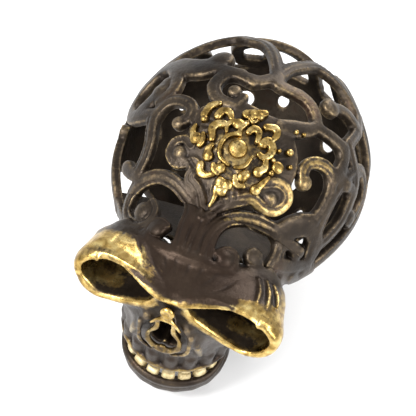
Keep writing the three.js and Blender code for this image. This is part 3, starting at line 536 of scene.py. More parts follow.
# %% Scrolls over the crown and the temples
CROWN_SCROLLS = [
    dict(path_shares=[(-0.52, -0.52), (-0.47, -0.43), (-0.46, -0.34), (-0.475, -0.28), (-0.48, -0.21),
                      (-0.45, -0.16), (-0.40, -0.125), (-0.33, -0.13), (-0.27, -0.16), (-0.255, -0.205),
                      (-0.285, -0.235)],
         widths=[2.6, 2.6, 2.7, 2.8, 2.6, 2.2], outer=0.3, inner=0.25),
    dict(path_shares=[(-0.475, -0.2), (-0.69, -0.155), (-0.76, -0.06), (-0.74, 0.04), (-0.66, 0.12),
                      (-0.58, 0.18), (-0.455, 0.055), (-0.42, -0.02), (-0.43, -0.075), (-0.475, -0.123)],
         widths=[2.8, 3.0, 3.4, 3.6, 3.2, 2.8, 2.6], outer=0.3),
    dict(path_shares=[(-0.64, -0.15), (-0.56, -0.11), (-0.52, -0.07), (-0.495, 0.01)],
         widths=[2.6, 3.4, 3.8, 2.4]),
    dict(path_shares=[(-0.58, 0.16), (-0.50, 0.15), (-0.40, 0.10), (-0.33, 0.085), (-0.27, 0.10),
                      (-0.235, 0.15)],
         widths=[3.8, 4.6, 5.4, 5.6, 4.6]),
    dict(path_shares=[(-0.33, 0.085), (-0.2, 0.075), (-0.13, 0.065), (-0.03, 0.04)], widths=[2.6, 2.6, 2.6]),
    dict(path_shares=[(-0.10, 0.065), (-0.16, 0.05), (-0.19, 0.015), (-0.20, -0.035), (-0.165, -0.09),
                      (-0.11, -0.11), (-0.055, -0.105), (-0.035, -0.06)],
         widths=[2.6, 2.8, 2.9, 2.7, 2.3, 1.8], outer=0.2, inner=0.0),
    dict(path_shares=[(-0.05, 0.05), (0.0, 0.055), (0.075, 0.12)], widths=[2.6, 2.6]),
    dict(path_shares=[(-0.60, 0.20), (-0.55, 0.30), (-0.46, 0.38), (-0.38, 0.47), (-0.28, 0.50),
                      (-0.22, 0.48), (-0.15, 0.42), (-0.09, 0.395), (-0.015, 0.31), (0.03, 0.225),
                      (0.07, 0.13)],
         widths=[2.7, 2.7, 2.6, 2.6, 2.8], outer=0.2, inner=0.2),
    dict(path_shares=[(0.07, 0.13), (0.10, 0.21), (0.165, 0.31), (0.22, 0.385), (0.29, 0.41), (0.385, 0.42),
                      (0.46, 0.40), (0.53, 0.37), (0.59, 0.32), (0.605, 0.21), (0.57, 0.05)],
         widths=[3.0, 2.7, 2.7, 2.7, 2.6], outer=0.2, inner=0.2),
    dict(path_shares=[(0.07, 0.13), (0.09, 0.08), (0.15, 0.075), (0.21, 0.08), (0.275, 0.065), (0.32, 0.03),
                      (0.36, -0.02), (0.45, -0.01), (0.55, 0.0)],
         widths=[2.8, 2.5, 2.5, 2.4, 2.8]),
    dict(path_shares=[(0.605, 0.21), (0.54, 0.225), (0.46, 0.205), (0.38, 0.14)], widths=[2.6, 2.3, 2.2]),
    dict(path_shares=[(0.36, -0.02), (0.31, -0.07), (0.26, -0.1), (0.19, -0.125)],
         widths=[2.2, 3.2, 3.8, 3.0]),
    dict(path_shares=[(0.55, 0.0), (0.585, -0.06), (0.57, -0.18)], widths=[2.8, 2.6]),
    dict(path_shares=[(0.57, 0.05), (0.66, 0.0), (0.74, -0.05), (0.78, -0.15), (0.80, -0.27), (0.77, -0.42),
                      (0.73, -0.5)],
         widths=[2.8, 3.0, 3.0, 2.8, 2.8], outer=0.2, inner=0.2),
    dict(path_shares=[(0.57, -0.18), (0.62, -0.145), (0.67, -0.13), (0.77, -0.11)], widths=[2.4, 2.6, 2.2]),
    dict(path_shares=[(0.42, -0.305), (0.39, -0.26), (0.39, -0.22), (0.43, -0.18), (0.51, -0.16),
                      (0.57, -0.18), (0.595, -0.225), (0.61, -0.288), (0.61, -0.35), (0.59, -0.42),
                      (0.53, -0.47)],
         widths=[2.0, 2.4, 2.7, 2.8, 3.0, 3.2, 4.2], outer=0.3, inner=0.25),
    dict(path_shares=[(0.41, -0.575), (0.50, -0.50), (0.59, -0.46), (0.65, -0.475), (0.72, -0.50)],
         widths=[3.2, 4.6, 4.2, 3.6, 3.0]),
    dict(path_shares=[(0.72, -0.50), (0.745, -0.57), (0.73, -0.64), (0.66, -0.69), (0.53, -0.73)],
         widths=[3.0, 2.8, 2.6, 2.6]),
    dict(path_shares=[(0.47, -0.62), (0.54, -0.595), (0.61, -0.605)], widths=[2.8, 2.6, 2.4]),
    dict(path_shares=[(-0.50, -0.52), (-0.57, -0.50), (-0.62, -0.47)], widths=[2.4, 2.8, 3.2]),
]
CROWN_EYES = [((-0.31, -0.25), 1.7), ((-0.235, 0.155), 3.0), ((-0.09, -0.045), 1.8), ((0.38, 0.14), 2.6),
              ((0.67, -0.135), 2.0), ((0.42, -0.3), 1.9), ((0.61, -0.61), 2.1), ((-0.515, -0.05), 2.3)]
print(len(CROWN_SCROLLS), "scrolls and", len(CROWN_EYES), "eyes over the crown")

# %% [markdown]
# The sides and the back carry the same C-scrolls again, in pairs round the skull, down to the foot ring. They
# are written once, as turns of a quarter from the right side towards the back, and repeated by a loop.

# %% Scrolls round the sides and the back
ROUND_TURNS = (-0.12, 0.5, 1.12, 1.74)
UPPER_VOLUTE_SHARES = [(-0.3, 1.12), (-0.3, 0.9), (-0.2, 0.72), (0, 0.66), (0.16, 0.76), (0.13, 0.92),
                       (-0.02, 0.94)]
LOWER_VOLUTE_SHARES = [(-0.3, 1.1), (-0.06, 1.04), (0.2, 1.14), (0.22, 1.34), (0.06, 1.42), (-0.06, 1.32)]
STEM_SHARES = [(0.3, 0.98), (0.32, 1.2), (0.3, 1.5), (0.3, 1.8), (0.3, 1.95)]
LINK_SHARES = [(-0.3, 1.1), (-0.2, 1.3), (-0.12, 1.5), (0.02, 1.7), (0.3, 1.8)]
WAIST_SHARES = [(-0.45, 1.1), (0, 1.03), (0.5, 1.08), (1, 1.02), (1.5, 1.08), (2, 1.03), (2.45, 1.1)]
FIRST_STEM_TURN = -0.74


def round_skull(middle, spots):
    return [(math.cos((middle + turn) * math.pi / 2) * radius,
             math.sin((middle + turn) * math.pi / 2) * radius)
            for turn, radius in spots]


def side_scrolls():
    scrolls, eyes = [], []
    for middle in ROUND_TURNS:
        scrolls.append(dict(path_shares=round_skull(middle, UPPER_VOLUTE_SHARES),
                            widths=[2.9, 2.9, 2.9, 2.7, 2.3], outer=0.3, inner=0.25))
        scrolls.append(dict(path_shares=round_skull(middle, LOWER_VOLUTE_SHARES),
                            widths=[2.9, 2.9, 2.8, 2.3], outer=0.3, inner=0.25))
        scrolls.append(dict(path_shares=round_skull(middle, STEM_SHARES),
                            widths=[2.9, 3.0], outer=0.2, inner=0.2))
        scrolls.append(dict(path_shares=round_skull(middle, LINK_SHARES), widths=[2.7, 2.5]))
        eyes.append((round_skull(middle, [(-0.03, 0.895)])[0], 2.2))
        eyes.append((round_skull(middle, [(-0.02, 1.3)])[0], 2.2))
    scrolls.append(dict(path_shares=round_skull(FIRST_STEM_TURN, STEM_SHARES), widths=[2.9, 3.0]))
    scrolls.append(dict(path_shares=round_skull(0, WAIST_SHARES), widths=[2.9, 2.9], outer=0.2, inner=0.2))
    return scrolls, eyes


SIDE_SCROLLS, SIDE_EYES = side_scrolls()
print(len(SIDE_SCROLLS), "scrolls and", len(SIDE_EYES), "eyes round the sides")

# %% [markdown]
# Under the scrolls lie three flat plates of wax: one for the rosette, one where the brow forks and one along
# the brow. They could be strokes too, but a broad plate has no middle line, so each is an outline that is
# filled. Their corners are shares of the chart's radius, as all places of the scrolls are.

# %% Plates under the scrolls
SHEET_REACH = 1.62
SHEET_FRONT = -1.18
CELL = 0.0076
PLATE_LIFT = 0.75
ROSETTE_PLATE_SHARES = [(-0.22, -0.15), (-0.12, -0.105), (0, -0.085), (0.1, -0.1), (0.2, -0.105),
                        (0.3, -0.18), (0.345, -0.25), (0.36, -0.33), (0.35, -0.42), (0.29, -0.5),
                        (0.2, -0.52), (0.05, -0.6), (-0.05, -0.58), (-0.15, -0.5), (-0.21, -0.42),
                        (-0.235, -0.33), (-0.24, -0.24)]
FORK_PLATE_SHARES = [(-0.12, -0.66), (-0.02, -0.62), (0.1, -0.66), (0.12, -0.76), (0.14, -1.0),
                     (-0.14, -1.0), (-0.13, -0.78)]
BROW_PLATE_SHARES = [(-0.84, -0.6), (-0.72, -0.68), (-0.62, -0.76), (-0.5, -0.83), (-0.4, -0.85),
                     (-0.28, -0.855), (-0.12, -0.86), (0.12, -0.88), (0.2, -0.87), (0.3, -0.87),
                     (0.42, -0.85), (0.5, -0.8), (0.6, -0.73), (0.72, -0.62), (0.84, -0.6), (0.84, -0.8),
                     (0.7, -0.98), (0.4, -1.15), (-0.4, -1.15), (-0.7, -0.98), (-0.84, -0.8)]
cranium_sheet = wax_sheet((-SHEET_REACH, SHEET_FRONT), (SHEET_REACH, SHEET_REACH), CELL)
for outline_shares in (ROSETTE_PLATE_SHARES, FORK_PLATE_SHARES, BROW_PLATE_SHARES):
    plate(cranium_sheet, outline_shares, PLATE_LIFT)
print("sheet of", cranium_sheet["outside"].shape, "cells with three plates")

# %% [markdown]
# Below the widest level the cage isn't open all through: a thin ground lies behind the scrolls, with round
# holes drilled in it, so little light gets in and the inside looks dark. Its front edges follow the cheeks on
# both sides, and one wide opening stays at the right temple.

# %% Ground, holes and opening
GROUND_LEVEL = 36.5
GROUND_TOP = -0.15
GROUND_HOLES = [((0.07, 1.24), 2.3), ((-0.16, 1.2), 1.6), ((0.4, 1.28), 2.2), ((0.1, 1.55), 1.9),
                ((0.42, 1.6), 1.7)]
OPENING_LOW = np.array([14, -3.9, 25.5])
OPENING_HIGH = np.array([36, 1.6, 31])
CORNER_SHARE = 1.45
EDGE_LEVELS = [3.5, 10, 16, 22, 28, 32, 35.5]
LEFT_EDGE = [-7.0, -6.0, -3.7, -2.9, -3.3, -7.4, -8.2]
RIGHT_EDGE = [-7.0, -7.6, -11.0, -15.6, -20.2, -23.2, -25.0]
wall_x, wall_y, wall_level = np.moveaxis(cranium_sheet["place"], -1, 0)
left_limit = np.interp(wall_level, EDGE_LEVELS, LEFT_EDGE)
right_limit = np.interp(wall_level, EDGE_LEVELS, RIGHT_EDGE)
ground = smooth_max(wall_level - GROUND_LEVEL, np.where(wall_x < 0, left_limit, right_limit) - wall_y, FILLET)
lay(cranium_sheet, ground, np.where(ground < 0, GROUND_TOP, GROUND_TOP - STEP_SLOPE * ground))
for middle in ROUND_TURNS:
    for hole_shares, hole in GROUND_HOLES:
        pierce(cranium_sheet, round_skull(middle, [hole_shares])[0], hole)
half_opening = (OPENING_HIGH - OPENING_LOW) / 2
over = np.abs(cranium_sheet["place"] - (OPENING_LOW + OPENING_HIGH) / 2) / half_opening
oval = (np.hypot(over[..., 1], over[..., 2]) - CORNER_SHARE) * half_opening[1:].min()
opening = np.maximum(oval, (over[..., 0] - 1) * half_opening[0])
cranium_sheet["outside"] = smooth_max(cranium_sheet["outside"], -opening, FILLET)
print(len(ROUND_TURNS) * len(GROUND_HOLES), "holes in the ground")

# %% [markdown]
# The ground would end in a sharp broken line at the cheeks. On the real cage a band runs down each of these
# edges, so one is laid there first, and then all scrolls and eyes over it.

# %% Border bands, scrolls and eyes
EDGE_WIDTHS = [2.6, 2.6]


def on_wall(side, y, level):
    """The chart place on the wall below the widest level, at a side, a y and a level in millimetres."""
    radius = 1 + (DOME_LEVEL - level) / DOME_LEVEL
    share = y / foot_ease(HALF_LENGTH, FOOT_HALF_LENGTH, radius)
    return side * radius * math.sqrt(1 - share**2), radius * share


for side, edge in ((-1, LEFT_EDGE), (1, RIGHT_EDGE)):
    band(cranium_sheet, [on_wall(side, y, level) for y, level in zip(edge, EDGE_LEVELS)], EDGE_WIDTHS)
for scroll in BROW_SCROLLS + CROWN_SCROLLS + SIDE_SCROLLS:
    band(cranium_sheet, **scroll)
for spot, radius in BROW_EYES + CROWN_EYES + SIDE_EYES:
    eye_mark(cranium_sheet, spot, radius)
print("solid share of the sheet", round(float((cranium_sheet["outside"] < 0).mean()), 3))

# %% [markdown]
# The ground between the rosette's beads isn't left smooth: short cuts of a knife run out from the boss, and
# long soft grooves flow from the fork of the brow up round it.

# %% Engraved ground
ROSETTE_MIDDLE_SHARE = (0.04, -0.32)
CUTS = 44
CUT_DEPTH = -0.28
CUT_WIDTH = 0.3
CUT_START_SHARE = 0.1
CUT_START_WAVE_SHARE = 0.03
CUT_END_SHARE = 0.2
CUT_END_WAVE_SHARE = 0.04
CUT_TWIST = 0.12
FLOW_DEPTH = -0.4
FLOW_WIDTH = 0.42
FLOW_LINE_SHARES = [[(-0.06, -0.86), (-0.055, -0.75), (-0.045, -0.66), (-0.09, -0.57)],
                    [(-0.02, -0.88), (-0.015, -0.76), (-0.015, -0.68), (-0.02, -0.6)],
                    [(0.03, -0.87), (0.025, -0.76), (0.03, -0.68), (0.07, -0.6)],
                    [(0.0, -0.66), (-0.03, -0.55), (-0.11, -0.47), (-0.2, -0.4)],
                    [(0.02, -0.64), (0.09, -0.55), (0.19, -0.52), (0.27, -0.53)],
                    [(0.1, -0.47), (0.2, -0.45), (0.28, -0.47)],
                    [(-0.2, -0.26), (-0.21, -0.2), (-0.2, -0.14)],
                    [(-0.225, -0.26), (-0.235, -0.2), (-0.225, -0.15)]]
for cut in range(CUTS):
    angle = 2 * math.pi * cut / CUTS
    near_share = CUT_START_SHARE + CUT_START_WAVE_SHARE * math.sin(5 * angle)
    far_share = CUT_END_SHARE + CUT_END_WAVE_SHARE * math.sin(3 * angle + 1)
    path = []
    for k in range(3):
        away_share = near_share + (far_share - near_share) * k / 2
        heading = angle + CUT_TWIST * k
        path.append((ROSETTE_MIDDLE_SHARE[0] + math.cos(heading) * away_share,
                     ROSETTE_MIDDLE_SHARE[1] + math.sin(heading) * away_share))
    line(cranium_sheet, path, CUT_DEPTH, CUT_WIDTH)
for path in FLOW_LINE_SHARES:
    line(cranium_sheet, path, FLOW_DEPTH, FLOW_WIDTH)
print(CUTS + len(FLOW_LINE_SHARES), "cuts in the ground")

# %% [markdown]
# The chart covers the face as well, but the face is too deep to be a relief on a dome. So the sheet ends at a
# slanting plane from the brow to the cheeks, with a strip to spare for joining, and at the top of the foot
# ring. Only now is it stacked through the wall and given its skin.

# %% Cut the sheet where the face takes over
SEAM_TOP = np.array([0, -41.0, 52.0])
SEAM_SIDE = np.array([0, -24.0, 30.0])
SEAM_OVERLAP = 2.0
SHEET_FOOT = 3.0
STACK_LOW = -2.0
STACK_HIGH = 3.2
LAYER = 0.34
seam_run = SEAM_TOP - SEAM_SIDE
SEAM_DIRECTION = np.array([0, -seam_run[2], seam_run[1]]) / np.linalg.norm(seam_run) * -1


def before_seam(places):
    """How far places are in front of the seam between cranium and face, in millimetres."""
    return -((places - SEAM_TOP) @ SEAM_DIRECTION)


face_side = before_seam(cranium_sheet["place"]) - SEAM_OVERLAP
cranium_sheet["outside"] = np.maximum(cranium_sheet["outside"], face_side)
foot_side = SHEET_FOOT - cranium_sheet["place"][..., 2]
cranium_sheet["outside"] = np.maximum(cranium_sheet["outside"], foot_side)
cranium, cranium_places = carved("openwork_cranium", cranium_sheet, STACK_LOW, STACK_HIGH, LAYER)

# %% [markdown]
# ## The face
# The face is one thick shell with deep sockets, flared brow wings and a rough upper jaw. Such a form is
# modelled in wax by adding rolls and pressing hollows, and that is what is done here: a block of small cells
# holds the distance to the brass, and each roll or hollow is blended in with a soft edge.

# %% A block of cells for modelling in wax
VOXEL = 0.36
BLOCK_FAR = 6.0
WHOLE = (slice(None), slice(None), slice(None))


def wax_block(low, high, voxel=VOXEL):
    low, high = np.array(low, dtype=float), np.array(high, dtype=float)
    axes = [np.arange(low[k], high[k], voxel) for k in range(3)]
    shape = tuple(len(axis) for axis in axes)
    return {"low": low, "voxel": voxel, "axes": axes, "field": np.full(shape, BLOCK_FAR, dtype=np.float32)}


def near(block, low, high):
    shape = block["field"].shape
    first = np.maximum(np.floor((np.asarray(low) - block["low"]) / block["voxel"]).astype(int), 0)
    last = np.minimum(np.ceil((np.asarray(high) - block["low"]) / block["voxel"]).astype(int) + 1, shape)
    return tuple(slice(first[k], max(last[k], first[k] + 1)) for k in range(3))


def places_of(block, window=WHOLE):
    parts = [block["axes"][k][window[k]] for k in range(3)]
    return parts[0][:, None, None], parts[1][None, :, None], parts[2][None, None, :]


def add(block, window, distance, blend):
    block["field"][window] = smooth_min(block["field"][window], distance, blend)


def press(block, window, distance, blend):
    block["field"][window] = smooth_max(block["field"][window], -distance, blend)


print("blocks have cells of", VOXEL, "mm")

# %% [markdown]
# Two tools are enough for the whole face: a roll of wax between two fingers and a ball. Either is added with
# a soft edge, or its form is pressed in as a groove or a hollow.

# %% Roll and ball
ROLL_STEP = 1.2


def roll(block, path, radii, blend=1.0, hollow=False, count=None, flat=1.0):
    """Adds a roll of wax along a path, or presses a groove of that form."""
    count = count or max(int(np.linalg.norm(np.diff(path, axis=0), axis=1).sum() / ROLL_STEP), 4)
    path = smooth_path(path, count)
    radii = even_values(radii, count)
    reach = radii.max() + blend + 1
    window = near(block, path.min(0) - reach, path.max(0) + reach)
    distance = np.full(block["field"][window].shape, FAR, dtype=np.float32)
    offset = [part.start for part in window]
    for k in range(count - 1):
        ends = path[k:k + 2]
        part = near(block, ends.min(0) - reach, ends.max(0) + reach)
        x, y, z = places_of(block, part)
        arm = ends[1] - ends[0]
        along = (x - ends[0][0]) * arm[0] + (y - ends[0][1]) * arm[1] + (z - ends[0][2]) * arm[2]
        t = np.clip(along / max(arm @ arm, TINY), 0, 1)
        away = np.sqrt((x - ends[0][0] - t * arm[0]) ** 2 + ((y - ends[0][1] - t * arm[1]) / flat) ** 2
                       + (z - ends[0][2] - t * arm[2]) ** 2)
        local = tuple(slice(part[i].start - offset[i], part[i].stop - offset[i]) for i in range(3))
        radius = radii[k] + (radii[k + 1] - radii[k]) * t
        distance[local] = np.minimum(distance[local], away - radius)
    (press if hollow else add)(block, window, distance, blend)


def ball(block, centre, sizes, blend=1.0, hollow=False):
    """Adds an egg-shaped lump, or presses a hollow of that form."""
    centre, sizes = np.array(centre, dtype=float), np.array(sizes, dtype=float)
    window = near(block, centre - sizes - blend - 1, centre + sizes + blend + 1)
    x, y, z = places_of(block, window)
    scaled = np.sqrt(((x - centre[0]) / sizes[0]) ** 2 + ((y - centre[1]) / sizes[1]) ** 2
                     + ((z - centre[2]) / sizes[2]) ** 2)
    (press if hollow else add)(block, window, (scaled - 1) * sizes.min(), blend)


def modelled(name, block, bend=None):
    """The skin of a block as an object, bent at the end where the real form is."""
    points, quads = skin_of(block["field"])
    places = relax(block["low"] + (points - 1) * block["voxel"], quads, RELAX_PASSES, RELAX_SHARE)
    if bend:
        places = bend(places)
    print(name, len(quads), "quads")
    return mesh_object(name, places, quads)


print("wax tools ready: roll, ball")

# %% [markdown]
# The shell of the face starts from ten rows of places, from the gums up to the seam on the brow. They are
# the CAD's own rows, so the wings, the cheeks and the brow stay where the frame has them.

# %% Rows of the face
FACE_HALF_SPAN = 28.0
FACE_REACH = 54.0
BROW_LEVEL = 50.0
FACE_WALL = 2.6
MASK_ROW_SHARES = [
    [(0, 0.976, 0.35), (0.214, 0.952, 0.35), (0.41, 0.874, 0.36), (0.535, 0.74, 0.38), (0.57, 0.56, 0.41),
     (0.58, 0.34, 0.46)],
    [(0, 0.981, 0.44), (0.214, 0.96, 0.44), (0.418, 0.88, 0.45), (0.546, 0.74, 0.46), (0.6, 0.56, 0.47),
     (0.62, 0.36, 0.5)],
    [(0, 0.985, 0.56), (0.214, 0.96, 0.56), (0.43, 0.88, 0.56), (0.565, 0.74, 0.56), (0.64, 0.58, 0.57),
     (0.67, 0.42, 0.58)],
    [(0, 0.993, 0.66), (0.18, 0.974, 0.66), (0.43, 0.898, 0.65), (0.59, 0.778, 0.64), (0.69, 0.62, 0.65),
     (0.7, 0.47, 0.66)],
    [(0, 0.993, 0.76), (0.16, 0.981, 0.76), (0.41, 0.945, 0.72), (0.72, 0.88, 0.7), (0.79, 0.7, 0.71),
     (0.72, 0.51, 0.73)],
    [(0, 0.991, 0.86), (0.143, 0.981, 0.86), (0.357, 0.972, 0.81), (0.84, 0.965, 0.78), (0.85, 0.78, 0.79),
     (0.73, 0.56, 0.8)],
    [(0, 0.989, 0.93), (0.125, 0.981, 0.94), (0.321, 0.962, 0.91), (0.93, 0.945, 0.9), (0.87, 0.8, 0.88),
     (0.735, 0.61, 0.865)],
    [(0, 0.981, 0.98), (0.143, 0.97, 1), (0.375, 0.925, 1.02), (0.74, 0.88, 1.01), (0.8, 0.78, 0.955),
     (0.74, 0.63, 0.895)],
    [(0, 0.889, 1.01), (0.18, 0.889, 1.016), (0.43, 0.85, 1.02), (0.62, 0.8, 0.995), (0.7, 0.725, 0.955),
     (0.7, 0.63, 0.925)],
    [(0, 0.77, 1.035), (0.18, 0.77, 1.03), (0.4, 0.71, 0.99), (0.53, 0.67, 0.965), (0.6, 0.645, 0.955),
     (0.645, 0.62, 0.95)],
]
MASK_SIZE = np.array([FACE_HALF_SPAN, -FACE_REACH, BROW_LEVEL])


def mask_front(columns=100, rows=64):
    across_rows = []
    for row in MASK_ROW_SHARES:
        right_half = np.array(row) * MASK_SIZE
        left_half = (right_half * [-1, 1, 1])[:0:-1]
        whole = np.vstack([left_half, right_half])
        across_rows.append(curve_through(whole, np.linspace(0, len(whole) - 1, columns)))
    across_rows = np.array(across_rows)
    spots = np.linspace(0, len(MASK_ROW_SHARES) - 1, rows)
    return np.stack([curve_through(across_rows[:, i], spots) for i in range(columns)], axis=1)


def wall_directions(front, passes=14):
    directions = -np.cross(np.gradient(front, axis=1), np.gradient(front, axis=0))
    directions /= -np.linalg.norm(directions, axis=-1, keepdims=True)
    for _ in range(passes):
        padded = np.pad(directions, ((1, 1), (1, 1), (0, 0)), mode="edge")
        directions = directions + padded[2:, 1:-1] + padded[:-2, 1:-1] + padded[1:-1, 2:] + padded[1:-1, :-2]
        directions /= np.linalg.norm(directions, axis=-1, keepdims=True)
    return directions


def closed_sheet(front, back):
    rows, columns = front.shape[:2]
    index = np.arange(rows * columns).reshape(rows, columns)
    quads = np.stack([index[:-1, :-1], index[:-1, 1:], index[1:, 1:], index[1:, :-1]], -1).reshape(-1, 4)
    rim = np.concatenate([index[0, :-1], index[:-1, -1], index[-1, :0:-1], index[:0:-1, 0]])
    after = np.roll(rim, -1)
    shift = rows * columns
    sides = np.stack([after, rim, rim + shift, after + shift], -1)
    points = np.vstack([front.reshape(-1, 3), back.reshape(-1, 3)])
    return points, np.vstack([quads, quads[:, ::-1] + shift, sides])


front = mask_front()
directions = wall_directions(front)
mask_points, mask_quads = closed_sheet(front, front - directions * FACE_WALL)
print("face front", front.reshape(-1, 3).min(0).round(1), front.reshape(-1, 3).max(0).round(1))

# %% [markdown]
# A sheet of quads can't be blended with rolls of wax. So the shell is turned into distances on a block of
# cells first, which is one call of the volume library, and everything after is added to these.

# %% The shell as distances
FACE_LOW = (-31.5, -58.5, -0.8)
FACE_HIGH = (31.5, -14, 58)
face = wax_block(FACE_LOW, FACE_HIGH)


def distances_to(points, quads, block, reach=9):
    """Signed distances, in millimetres, from a closed skin to the block's cells."""
    quads = outward(points, quads)
    local = (points - block["low"]) / block["voxel"]
    level = openvdb.FloatGrid.createLevelSetFromPolygons(
        local.astype(np.float32), quads=quads.astype(np.uint32), halfWidth=reach)
    values = np.full(block["field"].shape, float(reach), dtype=np.float32)
    level.copyToArray(values)
    return values * block["voxel"]


face["field"] = distances_to(mask_points, mask_quads, face)
print("face cells", face["field"].shape, "inside share", round(float((face["field"] < 0).mean()), 4))

# %% [markdown]
# Eye sockets and nose are pockets with a thin cup behind them. Their outlines are seen from the front, and
# they narrow towards the bottom of the cup. First the cup's outside is added, then its inside pressed.

# %% Sockets and nose
SOCKET_DEPTH = 20.0
SOCKET_BOWL = 6.0
SOCKET_WALL = 1.5
NOSE_DEPTH = 8.0
NOSE_BOWL = 2.5
CUP_BLEND = 0.8
OUTLINE_STEPS = 90
SOCKET_SHARES = [(0.14, 0.965), (0.26, 0.98), (0.375, 0.992), (0.535, 0.99), (0.67, 0.975), (0.79, 0.945),
                 (0.855, 0.9), (0.83, 0.85), (0.75, 0.81), (0.654, 0.79), (0.53, 0.8), (0.41, 0.825),
                 (0.3, 0.86), (0.2, 0.905)]
NOSE_SHARES = [(0, 0.885), (0.05, 0.84), (0.065, 0.78), (0.125, 0.72), (0.115, 0.66), (0.05, 0.625),
               (0, 0.65), (-0.05, 0.625), (-0.115, 0.66), (-0.125, 0.72), (-0.065, 0.78), (-0.05, 0.84)]
BOWL_DEPTH_SHARES = [-1, 0.2, 0.45, 0.65, 0.8, 0.92, 1]
BOWL_INSET_SHARES = [0, 0.02, 0.08, 0.2, 0.38, 0.65, 1]


def face_outline(shares):
    return np.array([(x * FACE_HALF_SPAN, level * BROW_LEVEL) for x, level in shares])


def outline_distance(block, outline):
    """Signed distance from a closed outline, seen from the front, at each (x, z) of the block."""
    path = smooth_path(np.vstack([outline, outline[:1]]), OUTLINE_STEPS)
    x, z = block["axes"][0][:, None], block["axes"][2][None, :]
    distance = np.full((x.shape[0], z.shape[1]), np.inf)
    inside = np.zeros(distance.shape, dtype=bool)
    for start, end in zip(path[:-1], path[1:]):
        arm = end - start
        t = np.clip(((x - start[0]) * arm[0] + (z - start[1]) * arm[1]) / max(arm @ arm, TINY), 0, 1)
        distance = np.minimum(distance, np.hypot(x - start[0] - t * arm[0], z - start[1] - t * arm[1]))
        drop = arm[1] if abs(arm[1]) > TINY else TINY
        inside ^= ((start[1] > z) != (end[1] > z)) & (x < start[0] + (z - start[1]) * arm[0] / drop)
    return np.where(inside, -distance, distance)


def pocket(block, shares, depth, bowl):
    flat = outline_distance(block, face_outline(shares))[:, None, :]
    y = block["axes"][1][None, :, None]
    inset = bowl * np.interp((y + FACE_REACH) / depth, BOWL_DEPTH_SHARES, BOWL_INSET_SHARES)
    return np.maximum(flat + inset, y + FACE_REACH - depth)


def mirrored(shares):
    return [(-x, level) for x, level in shares]


pockets = {
    "right": pocket(face, SOCKET_SHARES, SOCKET_DEPTH, SOCKET_BOWL),
    "left": pocket(face, mirrored(SOCKET_SHARES), SOCKET_DEPTH, SOCKET_BOWL),
    "nose": pocket(face, NOSE_SHARES, NOSE_DEPTH, NOSE_BOWL),
}
CUP_STARTS = {"right": 3.4, "left": 3.4, "nose": 1.6}
for name, hollow in pockets.items():
    inner_side = face["axes"][1][None, :, None] > -FACE_REACH + CUP_STARTS[name]
    cup = np.where(inner_side, hollow - SOCKET_WALL, FAR)
    face["field"] = smooth_min(face["field"], cup, CUP_BLEND)
print("pockets", {name: int((hollow < 0).sum()) for name, hollow in pockets.items()})

# %% [markdown]
# The rims of the sockets are the brightest part of the face: a roll of wax laid round each opening, thick and
# swollen at the outer end, where it becomes the wing, and thin at the nose.

# %% Rolled rims and wings
RIM_RADII = [0.8, 0.45, 0.35, 0.4, 0.5, 0.7, 0.9, 0.95, 0.85, 0.75, 0.75, 0.85, 0.95, 0.95]
RIM_STANDS = 0.6
RIM_BLEND = 1.8
BROW_EDGE_SPOTS = [(-12.5, 49.9), (-6.5, 49.4), (-2.5, 48.6), (2.5, 48.6), (6.5, 49.4), (12.5, 49.9)]
BROW_EDGE_RADII = [0.3, 0.45, 0.5, 0.45, 0.3]


def face_near(across_axis, up_axis, spot, reach, margin):
    """The points of the face's front round a place, looked at along the third axis."""
    flat = front.reshape(-1, 3)
    away = np.hypot(flat[:, across_axis] - spot[0], flat[:, up_axis] - spot[1])
    return flat[away < max(reach, away.min() + margin)]


def on_face(x, z):
    """The front of the face at a place seen from the front."""
    return face_near(0, 2, (x, z), reach=2.0, margin=0.4)[:, 1].min()


def outward_of(outline):
    """Directions away from the middle of a closed outline, square to its edge."""
    along = np.roll(outline, -1, axis=0) - np.roll(outline, 1, axis=0)
    away = np.stack([-along[:, 1], along[:, 0]], -1)
    away /= np.linalg.norm(away, axis=1, keepdims=True)
    middle = outline.mean(0)
    return away * np.sign(((outline - middle) * away).sum())


def socket_rim(shares):
    outline = face_outline(shares)
    outline = outline + outward_of(outline) * np.array(RIM_RADII)[:, None]
    path = [(x, on_face(x, z) + RIM_STANDS, z) for x, z in outline]
    return np.array(path + path[:1]), RIM_RADII + RIM_RADII[:1]


for shares in (SOCKET_SHARES, mirrored(SOCKET_SHARES)):
    path, radii = socket_rim(shares)
    roll(face, path, radii, blend=RIM_BLEND, count=60)
BROW_EDGE = [(x, on_face(x, z), z) for x, z in BROW_EDGE_SPOTS]
roll(face, BROW_EDGE, BROW_EDGE_RADII, blend=1.0)
print("rims laid")

# %% [markdown]
# Now the pockets are pressed through rims and shell at once, so their edges stay crisp. Inside, a thin wall
# stands at the outer end of each socket, and a thinner one, the septum, parts the nose.

# %% Hollows of the sockets and the nose
HOLLOW_BLEND = 0.7
DIVIDER = [(20.2, -50.0, 49.2), (21.3, -50.4, 45.4), (20.2, -50.8, 41.2)]
SEPTUM = [(0, -49.5, 43.5), (0.2, -49.5, 38), (0, -49.5, 33)]


def on_side(side, path):
    """A path of the right half, or its mirror image on the left."""
    return [(side * x, y, z) for x, y, z in path]


for name, hollow in pockets.items():
    face["field"] = smooth_max(face["field"], -hollow, HOLLOW_BLEND)
for side in (-1, 1):
    roll(face, on_side(side, DIVIDER), [0.45, 0.4, 0.5], blend=0.5, flat=6.0)
roll(face, SEPTUM, [0.4, 0.35, 0.5], blend=0.4, flat=5.0)
print("sockets open")

# %% [markdown]
# The upper jaw is rough: the carver scored furrows between the roots of the teeth, hollowed the cheeks and
# left a thin lip over the gums. Teeth and furrows share one arc, the CAD's.

